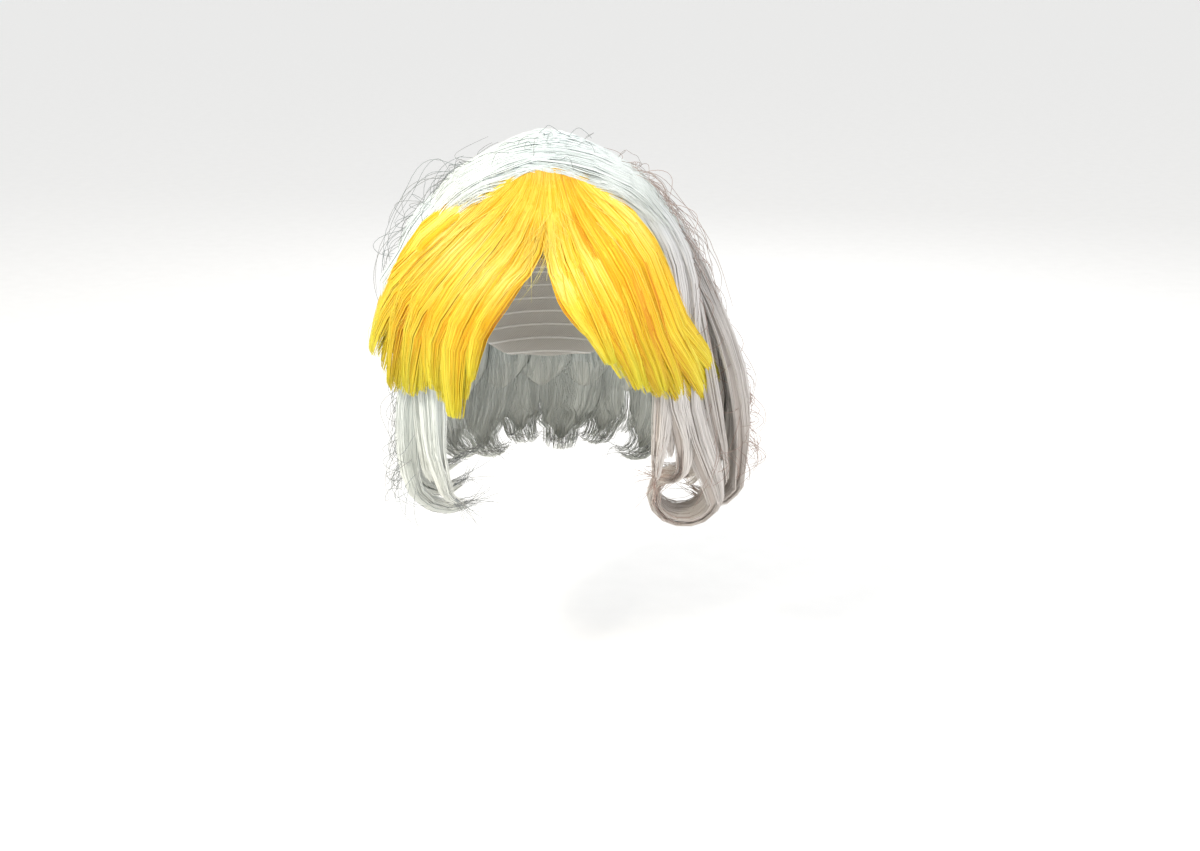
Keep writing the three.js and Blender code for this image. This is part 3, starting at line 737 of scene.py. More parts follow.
def guide_mesh(name, guides):
    """A mesh of open lines. Each guide is a dict of arrays: point, across, inward, along and tone."""
    counts = [len(guide["point"]) for guide in guides]
    points = np.concatenate([guide["point"] for guide in guides])
    starts = np.cumsum([0, *counts[:-1]])
    edges = np.concatenate(
        [np.stack([np.arange(n - 1), np.arange(1, n)], 1) + start for n, start in zip(counts, starts)]
    )
    mesh = bpy.data.meshes.new(name)
    mesh.from_pydata(points.tolist(), edges.tolist(), [])
    for key, kind, slot, width in (
        ("across", "FLOAT_VECTOR", "vector", (3,)),
        ("inward", "FLOAT_VECTOR", "vector", (3,)),
        ("along", "FLOAT", "value", ()),
        ("tone", "FLOAT", "value", ()),
    ):
        values = [np.broadcast_to(guide[key], (n, *width)) for guide, n in zip(guides, counts)]
        attribute = mesh.attributes.new(key, kind, "POINT")
        attribute.data.foreach_set(slot, np.concatenate(values).astype(np.float32).ravel())
    return mesh


def baked(source):
    """The evaluated result of an object's modifiers, as a plain mesh."""
    depsgraph = bpy.context.evaluated_depsgraph_get()
    return bpy.data.meshes.new_from_object(source.evaluated_get(depsgraph), depsgraph=depsgraph)


def grow_strands(name, guides, material, **inputs):
    """A plain object of strands that Geometry Nodes grow along the guides."""
    tree = bpy.data.node_groups.get("hair_strands") or strand_tree()
    source = bpy.data.objects.new(name + "_guides", guide_mesh(name + "_guides", guides))
    bpy.context.scene.collection.objects.link(source)
    modifier = source.modifiers.new("Strands", "NODES")
    modifier.node_group = tree
    given = {"Material": material, **{key.replace("_", " ").title(): value for key, value in inputs.items()}}
    for item in tree.interface.items_tree:
        if item.in_out == "INPUT" and item.name in given:
            modifier[item.identifier] = given[item.name]
    mesh = baked(source)
    mesh.name = name
    source.modifiers.remove(modifier)
    bpy.data.objects.remove(source)
    for attribute in [a.name for a in mesh.attributes if a.name in GUIDE_ATTRIBUTES]:
        mesh.attributes.remove(mesh.attributes[attribute])
    piece = bpy.data.objects.new(name, mesh)
    bpy.context.scene.collection.objects.link(piece)
    return piece


def tuft(lock, s, u, level, half_u, depth, tone, gather, drift):
    """A guide along a lock, at u across it. level is 1 on the outer face and 0 on the inner one.

    gather draws the strands together towards the tip, and drift sways the guide.
    """
    at_u = np.clip(u + drift * np.sin(s * 5 + u * 9), -0.97, 0.97)
    under = 0.0 if level > 0.3 else 0.6 * MM
    rise = lock.outer(s, at_u) * level - under
    point = lock.at(s, at_u, rise)
    sides = []
    for step in (half_u, -half_u):
        beside = np.clip(at_u + step, -1, 1)
        sides.append(lock.at(s, beside, lock.outer(s, beside) * level - under))
    out = unit(lock.at(s, at_u, rise + MM) - point)
    narrowing = (1 - gather * np.clip((s - 0.4) / 0.6, 0, 1))[:, None]
    facing = 1.0 if level > 0.5 else -1.0
    return {
        "point": point,
        "across": (sides[0] - sides[1]) / 2 * narrowing,
        "inward": -out * depth * facing * narrowing,
        "along": s,
        "tone": np.full(len(s), tone),
    }


def with_roots_from(guide, head, azimuth, station, lift):
    """The guide with its roots drawn out to a place further up the head, in a smooth bend."""
    point = guide["point"]
    azimuth_below, station_below = (value[0] for value in head.place_of(point[:1]))
    lift_below = np.linalg.norm(point[0] - head.on(azimuth_below, station_below, 0.0))
    middle = head.on(
        azimuth + (azimuth_below - azimuth) * 0.35,
        station + (station_below - station) * 0.6,
        (lift + lift_below) / 2 + 0.6 * MM,
    )
    knots = np.stack([head.on(azimuth, station, lift), middle, point[1], point[2]])
    bend = along_knots(knots, np.array([0, 0.18, 0.4, 0.6, 0.8]))
    out = head.surface(*head.place_of(bend))[1]
    across = unit(np.cross(unit(np.gradient(bend, axis=0)), out)) * 3.2 * MM
    added = len(bend)
    return {
        "point": np.concatenate([bend, point[2:]]),
        "across": np.concatenate([across, guide["across"][2:]]),
        "inward": np.concatenate([np.repeat(guide["inward"][2:3] * 0.7, added, 0), guide["inward"][2:]]),
        "along": np.concatenate([guide["along"][2] * np.linspace(0, 0.8, added), guide["along"][2:]]),
        "tone": np.concatenate([np.full(added, guide["tone"][0]), guide["tone"][2:]]),
    }


def stations_along(lock):
    """Shares of a lock's length, evenly spaced on its path and closer together in its curl."""
    path = np.linspace(0, lock.path_share, WAVED_POINTS if lock.row["wave"] else PLAIN_POINTS)
    if lock.turn <= 0:
        return path
    on_curl = max(3, round(lock.row["curl"] / CURL_STEP))
    return np.concatenate([path, np.linspace(lock.path_share, 1, on_curl + 1)[1:]])


def between(rows):
    """Rows halfway between neighbouring locks, flatter and without their wave, which close the sheet."""
    made = []
    for first, second in zip(rows, rows[1:]):
        low = dict(zip(LOCK_COLUMNS, first))
        high = dict(zip(LOCK_COLUMNS, second))
        row = {}
        for column in LOCK_COLUMNS:
            gap = high[column] - low[column]
            if column.endswith("azimuth"):
                gap = (gap + 180) % 360 - 180
            row[column] = low[column] + gap / 2
        row["thickness"] *= 0.7
        row["wave"] = 0.0
        row["tip_station"] -= 0.06 if row["curl"] else 0.0
        row["curl"] = 0.6 * min(low["curl"], high["curl"])
        made.append(tuple(row.values()))
    return made


def section_guides(head, section, rows, tones, rng, layers, gather, depth, drift, streak=0.12, roots=None):
    """Guides for a whole section. layers has a level, a count of tufts and a tone for each layer of a lock;
    lower tones for the inner layers are painted shade of the depth.

    tones has how much lighter or darker each lock is, and roots the azimuth, station and lift of its roots.
    """
    guides = []
    for number, (row, tone_of_lock) in enumerate(zip(rows, tones)):
        lock = Lock(head, section, row)
        s = stations_along(lock)
        for level, count, layer_tone in layers:
            for i in range(count):
                u = -0.88 + 1.76 * (i + 0.5 + rng.uniform(-0.25, 0.25)) / count
                # Painted shade: a tuft is darker towards the lock's edges, where it meets the next lock
                tone = layer_tone - 0.24 * abs(u) ** 2 + tone_of_lock + rng.uniform(-streak, streak)
                guide = tuft(lock, s, u, level, 1.3 / count, depth, tone, gather, drift)
                if roots is not None:
                    azimuth, station, lift = roots[number]
                    azimuth = azimuth - u * 3.4
                    station = station + rng.uniform(-0.03, 0.015)
                    guide = with_roots_from(guide, head, azimuth, station, lift - 3 * MM * (1 - level))
                guides.append(guide)
    return guides


def under_layer(name, head, section, rows, filling, inset, material):
    """Smooth locks just inside the strands, so that no gap shows through them.

    They bend where the strands bend and end before them. Those of the rows between the locks are shorter and
    lie deeper.
    """
    outer_u = np.linspace(-1, 1, 9)
    inner_u = np.linspace(0.8, -0.8, 5)
    vertices, faces, places = [], [], []
    end_shares = CLOSING * np.array([1, 0.75, 0.5, 0.3, 0.15, 0.05, 0])
    whole = [(row, inset, LOCK_FILL) for row in rows]
    whole += [(row, inset + BETWEEN_DEPTH, BETWEEN_FILL) for row in filling]
    for number, (row, depth, fill) in enumerate(whole):
        lock = Lock(head, section, row)
        start = depth / lock.length
        bends = stations_along(lock)
        bends = bends[(bends > start + 0.01) & (bends < fill - CLOSING - 0.01)]
        reach = np.concatenate([[start], bends, fill - end_shares])
        s = (reach - start) / (fill - start)
        closing = np.sqrt(np.clip((fill - reach) / CLOSING, 0.02, 1))
        narrow = (1 - depth / np.maximum(lock.half_width(reach), 3 * depth)) * closing
        rows_of_points = [
            lock.at(reach, u * narrow, np.maximum((lock.outer(reach, u) - depth) * closing, 0.45 * MM))
            for u in outer_u
        ] + [lock.at(reach, u * narrow, np.full(len(s), 0.4 * MM)) for u in inner_u]
        ring = len(rows_of_points)
        first = len(vertices)
        vertices.extend(np.stack(rows_of_points, 1).reshape(-1, 3).tolist())
        for i in range(len(s) - 1):
            for j in range(ring):
                k = (j + 1) % ring
                a = first + i * ring
                faces.append((a + j, a + k, a + ring + k, a + ring + j))
                strip = [(number + 0.04 + 0.92 * q / ring) / len(whole) for q in (j, j + 1)]
                places.extend(
                    [(strip[0], s[i]), (strip[1], s[i]), (strip[1], s[i + 1]), (strip[0], s[i + 1])]
                )
        for end, order in ((0, 1), (len(s) - 1, -1)):
            faces.append(tuple([first + end * ring + j for j in range(ring)][::-order]))
            v = 0.002 + 0.996 * s[end]
            places.extend([((number + 0.04 + 0.9 * j / ring) / len(whole), v) for j in range(ring)])
    mesh = bpy.data.meshes.new(name)
    mesh.from_pydata(vertices, [], faces)
    layer = mesh.uv_layers.new(name="OFBake")
    layer.data.foreach_set("uv", np.array(places, np.float32).ravel())
    return finished_mesh(name, mesh, material)


def finished_mesh(name, mesh, material):
    """An object of a closed mesh, smooth, with its faces outwards."""
    work = bmesh.new()
    work.from_mesh(mesh)
    bmesh.ops.recalc_face_normals(work, faces=work.faces)
    work.to_mesh(mesh)
    work.free()
    mesh.materials.append(material)
    mesh.shade_smooth()
    piece = bpy.data.objects.new(name, mesh)
    bpy.context.scene.collection.objects.link(piece)
    return piece


def new_material(name):
    """A material with one plain shader: the material, its nodes and the shader's sockets."""
    material = bpy.data.materials.new(name)
    material.use_nodes = True
    material.node_tree.nodes.clear()
    nodes = Nodes(material.node_tree)
    shader = material.node_tree.nodes.new("ShaderNodeBsdfPrincipled")
    output = material.node_tree.nodes.new("ShaderNodeOutputMaterial")
    material.node_tree.links.new(shader.outputs["BSDF"], output.inputs["Surface"])
    return material, nodes, shader.inputs


def ramp(nodes, factor, stops):
    """A colour from a ramp's stops, each a place and a screen colour."""
    settings = {"stops": [(place, colour(screen)) for place, screen in stops]}
    return nodes.add("ShaderNodeValToRGB", settings, {"Fac": factor}, "Color")


def hair_material(name, light, middle, dark, roughness=0.36):
    """Colour of strands from their own map, tone across it and root to tip up it, by three ramps' stops: a
    high tone takes the light ramp, painted light, and a low one the dark ramp, painted shade.
    """
    material, nodes, shader = new_material(name)
    place = nodes.add("ShaderNodeUVMap", {"uv_map": "OFBake"})
    tone, along, _ = nodes.parts(place)
    pale, plain, deep = (ramp(nodes, along, stops) for stops in (light, middle, dark))
    lower = nodes.mixed((tone * 2.0).clamped(), deep, plain)
    nodes.feed(shader["Base Color"], nodes.mixed((tone * 2.0 - 1.0).clamped(), lower, pale))
    nodes.feed(shader["Roughness"], roughness + 0.14 * (1.0 - tone))
    shader["Specular IOR Level"].default_value = 0.55
    return material


def layer_material(name, light, dark):
    """Streaks along the under-layer's locks, with the relief of strands lying side by side."""
    material, nodes, shader = new_material(name)
    place = nodes.add("ShaderNodeUVMap", {"uv_map": "OFBake"})
    across, along, _ = nodes.parts(place)
    stretched = nodes.add("ShaderNodeCombineXYZ", None, {"X": across * 420.0, "Y": along * 2.5})
    streak = nodes.add("ShaderNodeTexNoise", None, {"Vector": stretched, "Scale": 1.0, "Detail": 3.0}, "Fac")
    streak = ((streak - 0.3) * 2.4).clamped()
    tint = nodes.mixed(streak, ramp(nodes, along, dark), ramp(nodes, along, light))
    nodes.feed(shader["Base Color"], tint)
    relief = {"Strength": 0.6, "Distance": 0.0008, "Height": streak}
    nodes.feed(shader["Normal"], nodes.add("ShaderNodeBump", None, relief, "Normal"))
    shader["Roughness"].default_value = 0.5
    return material


def once(make, name, *ramps):
    """The material of that name, made by this function the first time."""
    return bpy.data.materials.get(name) or make(name, *ramps)


def yellow_hair():
    """Golden strands, lemon at the tips."""
    return once(hair_material, "yellow_strands", YELLOW_LIGHT, YELLOW_MIDDLE, YELLOW_DARK)


def ice_hair():
    """White strands with a painted cool tint of light, as white hair looks on its lit side."""
    return once(hair_material, "ice_white_strands", ICE_LIGHT, ICE_MIDDLE, ICE_DARK)


def warm_shade_hair():
    """White strands painted in the warm grey of shade, which turn warmer towards the tips."""
    return once(hair_material, "warm_white_strands", WARM_LIGHT, WARM_MIDDLE, WARM_DARK)


def white_layer():
    """What lies under the cool white strands, in the middle and dark ice ramps: painted shade of the hair's
    depth.
    """
    return once(layer_material, "white_under_layer", ICE_MIDDLE, ICE_DARK)


def warm_shade_layer():
    """What lies under the strands painted in warm shade, in the middle and dark warm ramps: painted shade of
    the hair's depth.
    """
    return once(layer_material, "warm_under_layer", WARM_MIDDLE, WARM_DARK)


def white_section(context, volume, width):
    """Sizes of a white section's locks."""
    white = context.scene.wig_white
    return {
        "volume": volume,
        "width": width,
        "thickness": white.thickness,
        "curl_radius": white.curl_radius,
        "wave_depth": white.wave_depth,
        "root_share": 0.9,
    }


def yellow_section(context):
    """Sizes of the fringe's locks."""
    yellow = context.scene.wig_yellow
    return {
        "volume": yellow.volume,
        "width": yellow.width,
        "thickness": yellow.thickness,
        "curl_radius": 0.0,
        "wave_depth": 0.0,
        "root_share": 0.5,
    }


def attach(piece, slot, *nodes):
    """The piece rides on the wig and stands for these CAD nodes, which it hides. slot is not used."""
    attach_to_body(piece, "root")
    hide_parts(*nodes)


def crown_lift(head, volume, azimuth, station):
    """Lift of the crown's outer face, and past its rim of the hair that hangs from there."""
    turn = np.abs(azimuth)
    edge = lookup(CROWN_EDGE, turn)
    rim = lookup(CROWN_EDGE, turn, 2)
    share = np.clip(station / edge, 0, 1)
    profile = lookup(CROWN_PROFILE, np.minimum(station, edge))
    on_crown = head.on_cap + volume * profile * (1 - (1 - rim) * share**4)
    hanging = lookup(HANGING_LIFT, azimuth) * MM
    past = np.clip((station - edge) / np.maximum(HANG_STATION - edge, 0.05), 0, 1)
    return on_crown + (hanging - on_crown) * past * past * (3 - 2 * past)


class WIG_OT_cap(bpy.types.Operator):
    """Builds the cap: knitted cloth with a band sewn round its edge"""

    bl_idname = "wig.cap"
    bl_label = "Cap"

    def execute(self, context):
        size = context.scene.wig_head
        head = HeadForm(size)
        segments, rings = 120, 26
        nape_drop, row_spacing = 0.066, 0.0095

        def edge_station(azimuth):
            """Station of the cap's lower edge."""
            height = lookup(CAP_EDGE, np.abs(azimuth)) * MM
            over = np.arccos(np.clip(height / size.crown_height, -1, 1)) / (math.pi / 2)
            return np.where(height < 0, 1 - height / size.hair_fall, over)

        azimuths = -180 + 360 * np.arange(segments) / segments
        edges = edge_station(azimuths)
        nape = np.maximum(0, -np.cos(np.radians(azimuths)))
        wall = size.cap_wall
        band = 1.1 * MM

        def ring_at(share, lift):
            """A ring of points at a share of the way down to the edge, tucked in at the nape."""
            stations = edges * share
            depth = np.maximum(0, stations - 1) * size.hair_fall / nape_drop
            tuck = -size.nape_tuck * nape * depth * depth
            return head.on(azimuths, stations, lift + tuck)

        shares = np.linspace(0.02, 1, rings) ** 0.9
        outside = [ring_at(share, wall) for share in shares]
        hem = [ring_at(1.008, wall * 0.75), ring_at(1.010, wall * 0.3), ring_at(1.006, -0.2 * MM)]
        inside = [ring_at(share, -band if share > 0.93 else 0.0) for share in shares[::-1]]
        levels = outside + hem + inside
        vertices = np.concatenate(levels)
        faces = []
        for i in range(len(levels) - 1):
            for j in range(segments):
                k = (j + 1) % segments
                a, b = i * segments, (i + 1) * segments
                faces.append((a + j, a + k, b + k, b + j))
        faces.append(tuple(range(segments))[::-1])
        faces.append(tuple((len(levels) - 1) * segments + j for j in range(segments)))
        mesh = bpy.data.meshes.new("cap_cloth")
        mesh.from_pydata(vertices.tolist(), [], faces)
        material, nodes, shader = new_material("knitted_cap")
        place = nodes.add("ShaderNodeTexCoord", None, None, "Object")
        x, y, z = nodes.parts(place)
        round_it = nodes.add("ShaderNodeMath", {"operation": "ARCTAN2"}, {0: x, 1: 0.0 - y})
        wales = (round_it * 340.0).sine()
        courses = (z * 5200.0).sine()
        knit = (wales * courses * 0.5 + 0.5).clamped()
        rows = (z * (2 * math.pi / row_spacing)).sine().clamped(0.78, 1.0) - 0.78
        tint = nodes.mixed(knit * 0.7, colour("c4c1ba"), colour("f0ede6"))
        tint = nodes.mixed((rows * 4.5).clamped(), tint, colour("fbfaf6"))
        nodes.feed(shader["Base Color"], tint)
        relief = {"Strength": 0.8, "Distance": 0.0006, "Height": knit + rows * 6.0}
        nodes.feed(shader["Normal"], nodes.add("ShaderNodeBump", None, relief, "Normal"))
        shader["Roughness"].default_value = 0.85
        attach(finished_mesh("cap_cloth", mesh, material), "cap_cloth", "cap_net", "cap_band")
        return {"FINISHED"}


def on_crown(head, volume, line, lift, half_width, along, tone):
    """A guide on the crown's outer face over a line that is drawn in plan, with stations as its radii."""
    azimuths = np.degrees(np.arctan2(line[:, 0], -line[:, 1]))
    stations = np.hypot(line[:, 0], line[:, 1])
    point = head.on(azimuths, stations, crown_lift(head, volume, azimuths, stations) + lift)
    out = head.surface(azimuths, stations)[1]
    return {
        "point": point,
        "across": unit(np.cross(unit(np.gradient(point, axis=0)), out)) * half_width[:, None],
        "inward": -out * 0.8 * MM,
        "along": along,
        "tone": np.full(len(line), tone),
    }


def crown_guides(head, volume, rng, count, points):
    """Guides that start along the centre line of the crown and fan out sideways, down and back."""
    guides = []
    t = np.linspace(0, 1, points)
    for k in range(count):
        side = -1 if k % 2 else 1
        back = (k // 2 + rng.uniform(0, 1)) / (count // 2)
        layer = k // 2 % 3
        start = np.array([
            -side * rng.uniform(-0.01, 0.16) - 0.02,
            np.interp(back, (0, 0.35, 0.6, 1), (-0.27, -0.12, 0.0, 0.1)) + rng.uniform(-0.02, 0.02),
        ])
        end_azimuth = 54 + 126 * back
        turn = math.radians(side * end_azimuth)
        past_rim = 0.13 * min(1, back * 6)
        reach = lookup(CROWN_EDGE, end_azimuth) + past_rim + rng.uniform(-0.04, 0.03) - 0.03 * layer
        end = reach * np.array([math.sin(turn), -math.cos(turn)])
        line = start + (end - start) * t[:, None]
        line[:, 1] -= 0.035 * (1 - back) * np.sin(t * math.pi)
        lift = (0.5 - 0.4 * layer) * MM - 0.7 * MM * np.clip(1 - t / 0.12, 0, 1)
        # Deeper layers are a little darker: painted shade
        tone = 0.68 + rng.uniform(-0.1, 0.1) - 0.03 * layer
        guides.append(on_crown(head, volume, line, lift, (4.0 + 6.5 * t) * MM, t * 0.8, tone))
    return guides


def dome(name, head, volume, inset, material):
    """A closed shell just inside the crown's hair."""
    segments, rings = 96, 14
    azimuths = -180 + 360 * np.arange(segments) / segments
    edge = lookup(CROWN_EDGE, np.abs(azimuths))
    shares = np.linspace(0.03, 1, rings)
    outer = [
        head.on(azimuths, edge * q, crown_lift(head, volume, azimuths, edge * q) - inset) for q in shares
    ]
    inner = [head.on(azimuths, edge * q, np.full(segments, head.on_cap + 0.4 * MM)) for q in shares[::-1]]
    levels = outer + inner
    faces, places = [], []
    for i in range(len(levels) - 1):
        for j in range(segments):
            k = (j + 1) % segments
            a, b = i * segments, (i + 1) * segments
            faces.append((a + j, a + k, b + k, b + j))
            u = [0.01 + 0.98 * q / segments for q in (j, j + 1)]
            v = [0.01 + 0.98 * q / (len(levels) - 1) for q in (i, i + 1)]
            places.extend([(u[0], v[0]), (u[1], v[0]), (u[1], v[1]), (u[0], v[1])])
    for level, v in ((0, 0.005), (len(levels) - 1, 0.995)):
        faces.append(tuple(level * segments + j for j in range(segments)))
        places.extend([(0.01 + 0.98 * j / segments, v + 0.004 * math.sin(j)) for j in range(segments)])
    mesh = bpy.data.meshes.new(name)
    mesh.from_pydata(np.concatenate(levels).tolist(), [], faces)
    mesh.uv_layers.new(name="OFBake").data.foreach_set("uv", np.array(places, np.float32).ravel())
    return finished_mesh(name, mesh, material)


class WIG_OT_crown(bpy.types.Operator):
    """Combs the white hair of the crown over the top and down to all sides"""

    bl_idname = "wig.crown"
    bl_label = "Crown"

    def execute(self, context):
        head = HeadForm(context.scene.wig_head)
        white = context.scene.wig_white
        guides = crown_guides(head, white.crown_volume, np.random.default_rng(11), 240, 10)
        piece = grow_strands(
            "crown_hair", guides, ice_hair(), strands=12, radius=white.strand, tip=0.6, uneven=0.25,
            frizz=white.frizz * 0.22, ripple=0.0, wisps=0.12, tone_spread=0.3, seed=21,
        )
        attach(piece, "white_hair", "crown")
        layer = layer_material("crown_layer", ICE_LIGHT, ICE_MIDDLE)
        attach(dome("crown_under", head, white.crown_volume, 1.5 * MM, layer), "white_hair", "crown")
        return {"FINISHED"}


class WIG_OT_sides(bpy.types.Operator):
    """Builds the white wavy sides with their curled-under ends"""

    bl_idname = "wig.sides"
    bl_label = "Sides"

    def execute(self, context):
        head = HeadForm(context.scene.wig_head)
        white = context.scene.wig_white
        # The left side takes the ice colours, painted light, and the right side the warm ones, painted shade
        for name, rows, volume, material, layer, tone, frizz, seed in (
            ("side_left", LEFT_SIDE, white.left_volume, ice_hair(), white_layer(), 0.82, 0.5, 31),
            ("side_right", RIGHT_SIDE, white.right_volume, warm_shade_hair(), warm_shade_layer(), 0.82, 0.8, 41),
        ):
            section = white_section(context, volume, white.side_width)
            rng = np.random.default_rng(seed)
            filling = between(rows)
            # The inner layers and the rows between the locks get lower tones: painted shade of the depth
            guides = section_guides(
                head, section, rows, rng.uniform(-0.1, 0.1, len(rows)), rng,
                ((1.0, 7, tone), (0.0, 4, tone - 0.1)), gather=0.2, depth=2 * MM, drift=0.06,
            )
            guides += section_guides(
                head, section, filling, rng.uniform(-0.1, 0.1, len(filling)), rng,
                ((0.9, 4, tone - 0.06), (0.0, 2, tone - 0.1)), gather=0.1, depth=2 * MM, drift=0.06,
            )
            piece = grow_strands(
                name + "_hair", guides, material, strands=23, radius=white.strand, tip=0.5, uneven=0.2,
                frizz=white.frizz * frizz, ripple=0.0005, wisps=0.3, tone_spread=0.36, seed=seed,
            )
            attach(piece, "white_hair", name)
            under = under_layer(name + "_under", head, section, rows, filling, 2 * MM, layer)
            attach(under, "white_hair", name)
        return {"FINISHED"}


class WIG_OT_back(bpy.types.Operator):
    """Builds the white wavy hair at the back"""

    bl_idname = "wig.back"
    bl_label = "Back"

    def execute(self, context):
        head = HeadForm(context.scene.wig_head)
        white = context.scene.wig_white
        section = white_section(context, white.back_volume, white.back_width)
        rng = np.random.default_rng(51)
        filling = between((LEFT_SIDE[-1], *BACK, RIGHT_SIDE[-1]))
        # The inner layers and the rows between the locks get lower tones: painted shade of the depth
        guides = section_guides(
            head, section, BACK, rng.uniform(-0.1, 0.1, len(BACK)), rng,
            ((1.0, 7, 0.64), (0.0, 5, 0.56)), gather=0.2, depth=2 * MM, drift=0.06,
        )
        guides += section_guides(
            head, section, filling, rng.uniform(-0.1, 0.1, len(filling)), rng,
            ((0.9, 3, 0.6), (0.0, 3, 0.54)), gather=0.1, depth=2 * MM, drift=0.06,
        )
        piece = grow_strands(
            "back_hair", guides, ice_hair(), strands=15, radius=white.strand * 1.15, tip=0.5, uneven=0.2,
            frizz=white.frizz, ripple=0.0005, wisps=0.35, tone_spread=0.4, seed=51,
        )
        attach(piece, "white_hair", "back")
        under = under_layer("back_under", head, section, BACK, filling, 2 * MM, white_layer())
        attach(under, "white_hair", "back")
        return {"FINISHED"}


def fringe_wisps(head, section, rows, side, rng):
    """Guides of fine hairs that hang at the parting's lower end, or stray over the fringe."""
    at_parting, on_each_lock, points = 34, 9, 8
    guides = []
    t = np.linspace(0, 1, points)
    for _ in range(at_parting):
        azimuth = side * (rng.uniform(-3, 9) + rng.uniform(-2, 20) * t * t)
        station = rng.uniform(0.48, 0.62) + rng.uniform(0.1, 0.3) * t
        point = head.on(azimuth, station, (9 + 3 * np.sin(t * 3) + rng.uniform(-1.5, 1.5)) * MM)
        guides.append({
            "point": point,
            "across": np.full((points, 3), 3 * MM),
            "inward": np.zeros((points, 3)),
            "along": 0.1 + t * 0.25,
            "tone": np.full(points, rng.uniform(0.7, 0.98)),
        })
    for row in rows:
        lock = Lock(head, section, row)
        for _ in range(on_each_lock):
            first, last = sorted(rng.uniform(0.05, 1.0, 2))
            s = np.linspace(first, max(last, first + 0.25), points).clip(0, 1)
            u = rng.uniform(-0.9, 0.9)
            tone = rng.uniform(0.35, 0.98)
            guides.append(
                tuft(lock, s, u, level=1.06, half_u=0.06, depth=0.2 * MM, tone=tone, gather=0.0, drift=0.25)
            )
    return guides


def fringe_roots(head, white, azimuths):
    """Where the fringe's strands come out from between the white ones, just inside the crown's rim."""
    azimuths = np.array(azimuths)
    stations = lookup(CROWN_EDGE, np.abs(azimuths)) - 0.025
    lifts = crown_lift(head, white.crown_volume, azimuths, stations) - 0.3 * MM
    return list(zip(azimuths, stations, lifts))


class WIG_OT_fringe(bpy.types.Operator):
    """Builds the yellow fringe, parted at the centre and swept to both sides"""

    bl_idname = "wig.fringe"
    bl_label = "Fringe"

    def execute(self, context):
        head = HeadForm(context.scene.wig_head)
        yellow = context.scene.wig_yellow
        white = context.scene.wig_white
        section = yellow_section(context)
        # The fringe's under-layer is in the middle and dark yellow ramps: painted shade of the depth
        layer = layer_material("yellow_under_layer", YELLOW_MIDDLE, YELLOW_DARK)
        for name, rows, tones, side, seed in (
            ("fringe_left", LEFT_FRINGE, LEFT_FRINGE_TONES, -1, 61),
            ("fringe_right", RIGHT_FRINGE, RIGHT_FRINGE_TONES, 1, 71),
        ):
            rng = np.random.default_rng(seed)
            spread = side * np.linspace(30, 2, len(rows))
            combed = [(azimuth, *row[1:]) for azimuth, row in zip(spread, rows)]
            filling = between(combed)
            # The inner layer and the rows between the locks get lower tones: painted shade of the depth
            guides = section_guides(
                head, section, combed, tones, rng, ((1.0, 8, 0.62), (0.0, 3, 0.42)),
                gather=0.0, depth=1.1 * MM, drift=0.04, streak=0.2,
                roots=fringe_roots(head, white, spread * 1.15),
            )
            guides += section_guides(
                head, section, filling, tones[1:], rng, ((0.8, 3, 0.58),),
                gather=0.0, depth=1.1 * MM, drift=0.04, streak=0.2,
                roots=fringe_roots(head, white, (spread[1:] + spread[:-1]) * 0.575),
            )
            if side < 0:
                guides += section_guides(
                    head, section, (LEFT_FRINGE_COVER,), (0.05,), rng, ((1.0, 7, 0.66),),
                    gather=0.0, depth=0.8 * MM, drift=0.04, streak=0.2,
                    roots=fringe_roots(head, white, (-43.0,)),
                )
            piece = grow_strands(
                name + "_hair", guides, yellow_hair(), strands=28, radius=yellow.strand, tip=0.6,
                uneven=0.06, frizz=yellow.frizz, ripple=0.0, wisps=0.2, tone_spread=0.5, seed=seed,
            )
            attach(piece, "yellow_hair", name)
            wisps = fringe_wisps(head, section, rows, side, rng)
            piece = grow_strands(
                name + "_wisps", wisps, yellow_hair(), strands=2, radius=yellow.strand * 0.42, tip=0.5,
                uneven=0.5, frizz=0.0022, ripple=0.0, wisps=0.0, tone_spread=0.3, seed=seed + 1,
            )
            attach(piece, "yellow_hair", name)
            under = under_layer(name + "_under", head, section, rows, between(rows), 1.8 * MM, layer)
            attach(under, "yellow_hair", name)
        return {"FINISHED"}


def outer_lift(head, white, azimuth, station):
    """Lift of the outermost hair at a place, from the top of the crown to the tips."""
    sides = []
    for rows, volume in (
        (LEFT_SIDE, white.left_volume), (RIGHT_SIDE, white.right_volume), (BACK, white.back_volume),
    ):
        for row in rows:
            lock = dict(zip(LOCK_COLUMNS, row))
            stands_out = lock["low_lift"] * volume + lock["thickness"] * white.thickness
            sides.append((lock["low_azimuth"], stands_out))
    around = np.array(sorted(sides))
    low = head.on_cap + np.interp(azimuth, around[:, 0], around[:, 1], period=360)
    high = crown_lift(head, white.crown_volume, azimuth, np.minimum(station, HANG_STATION))
    return high + (low - high) * np.clip((station - HANG_STATION) / (LOW_STATION - HANG_STATION), 0, 1)


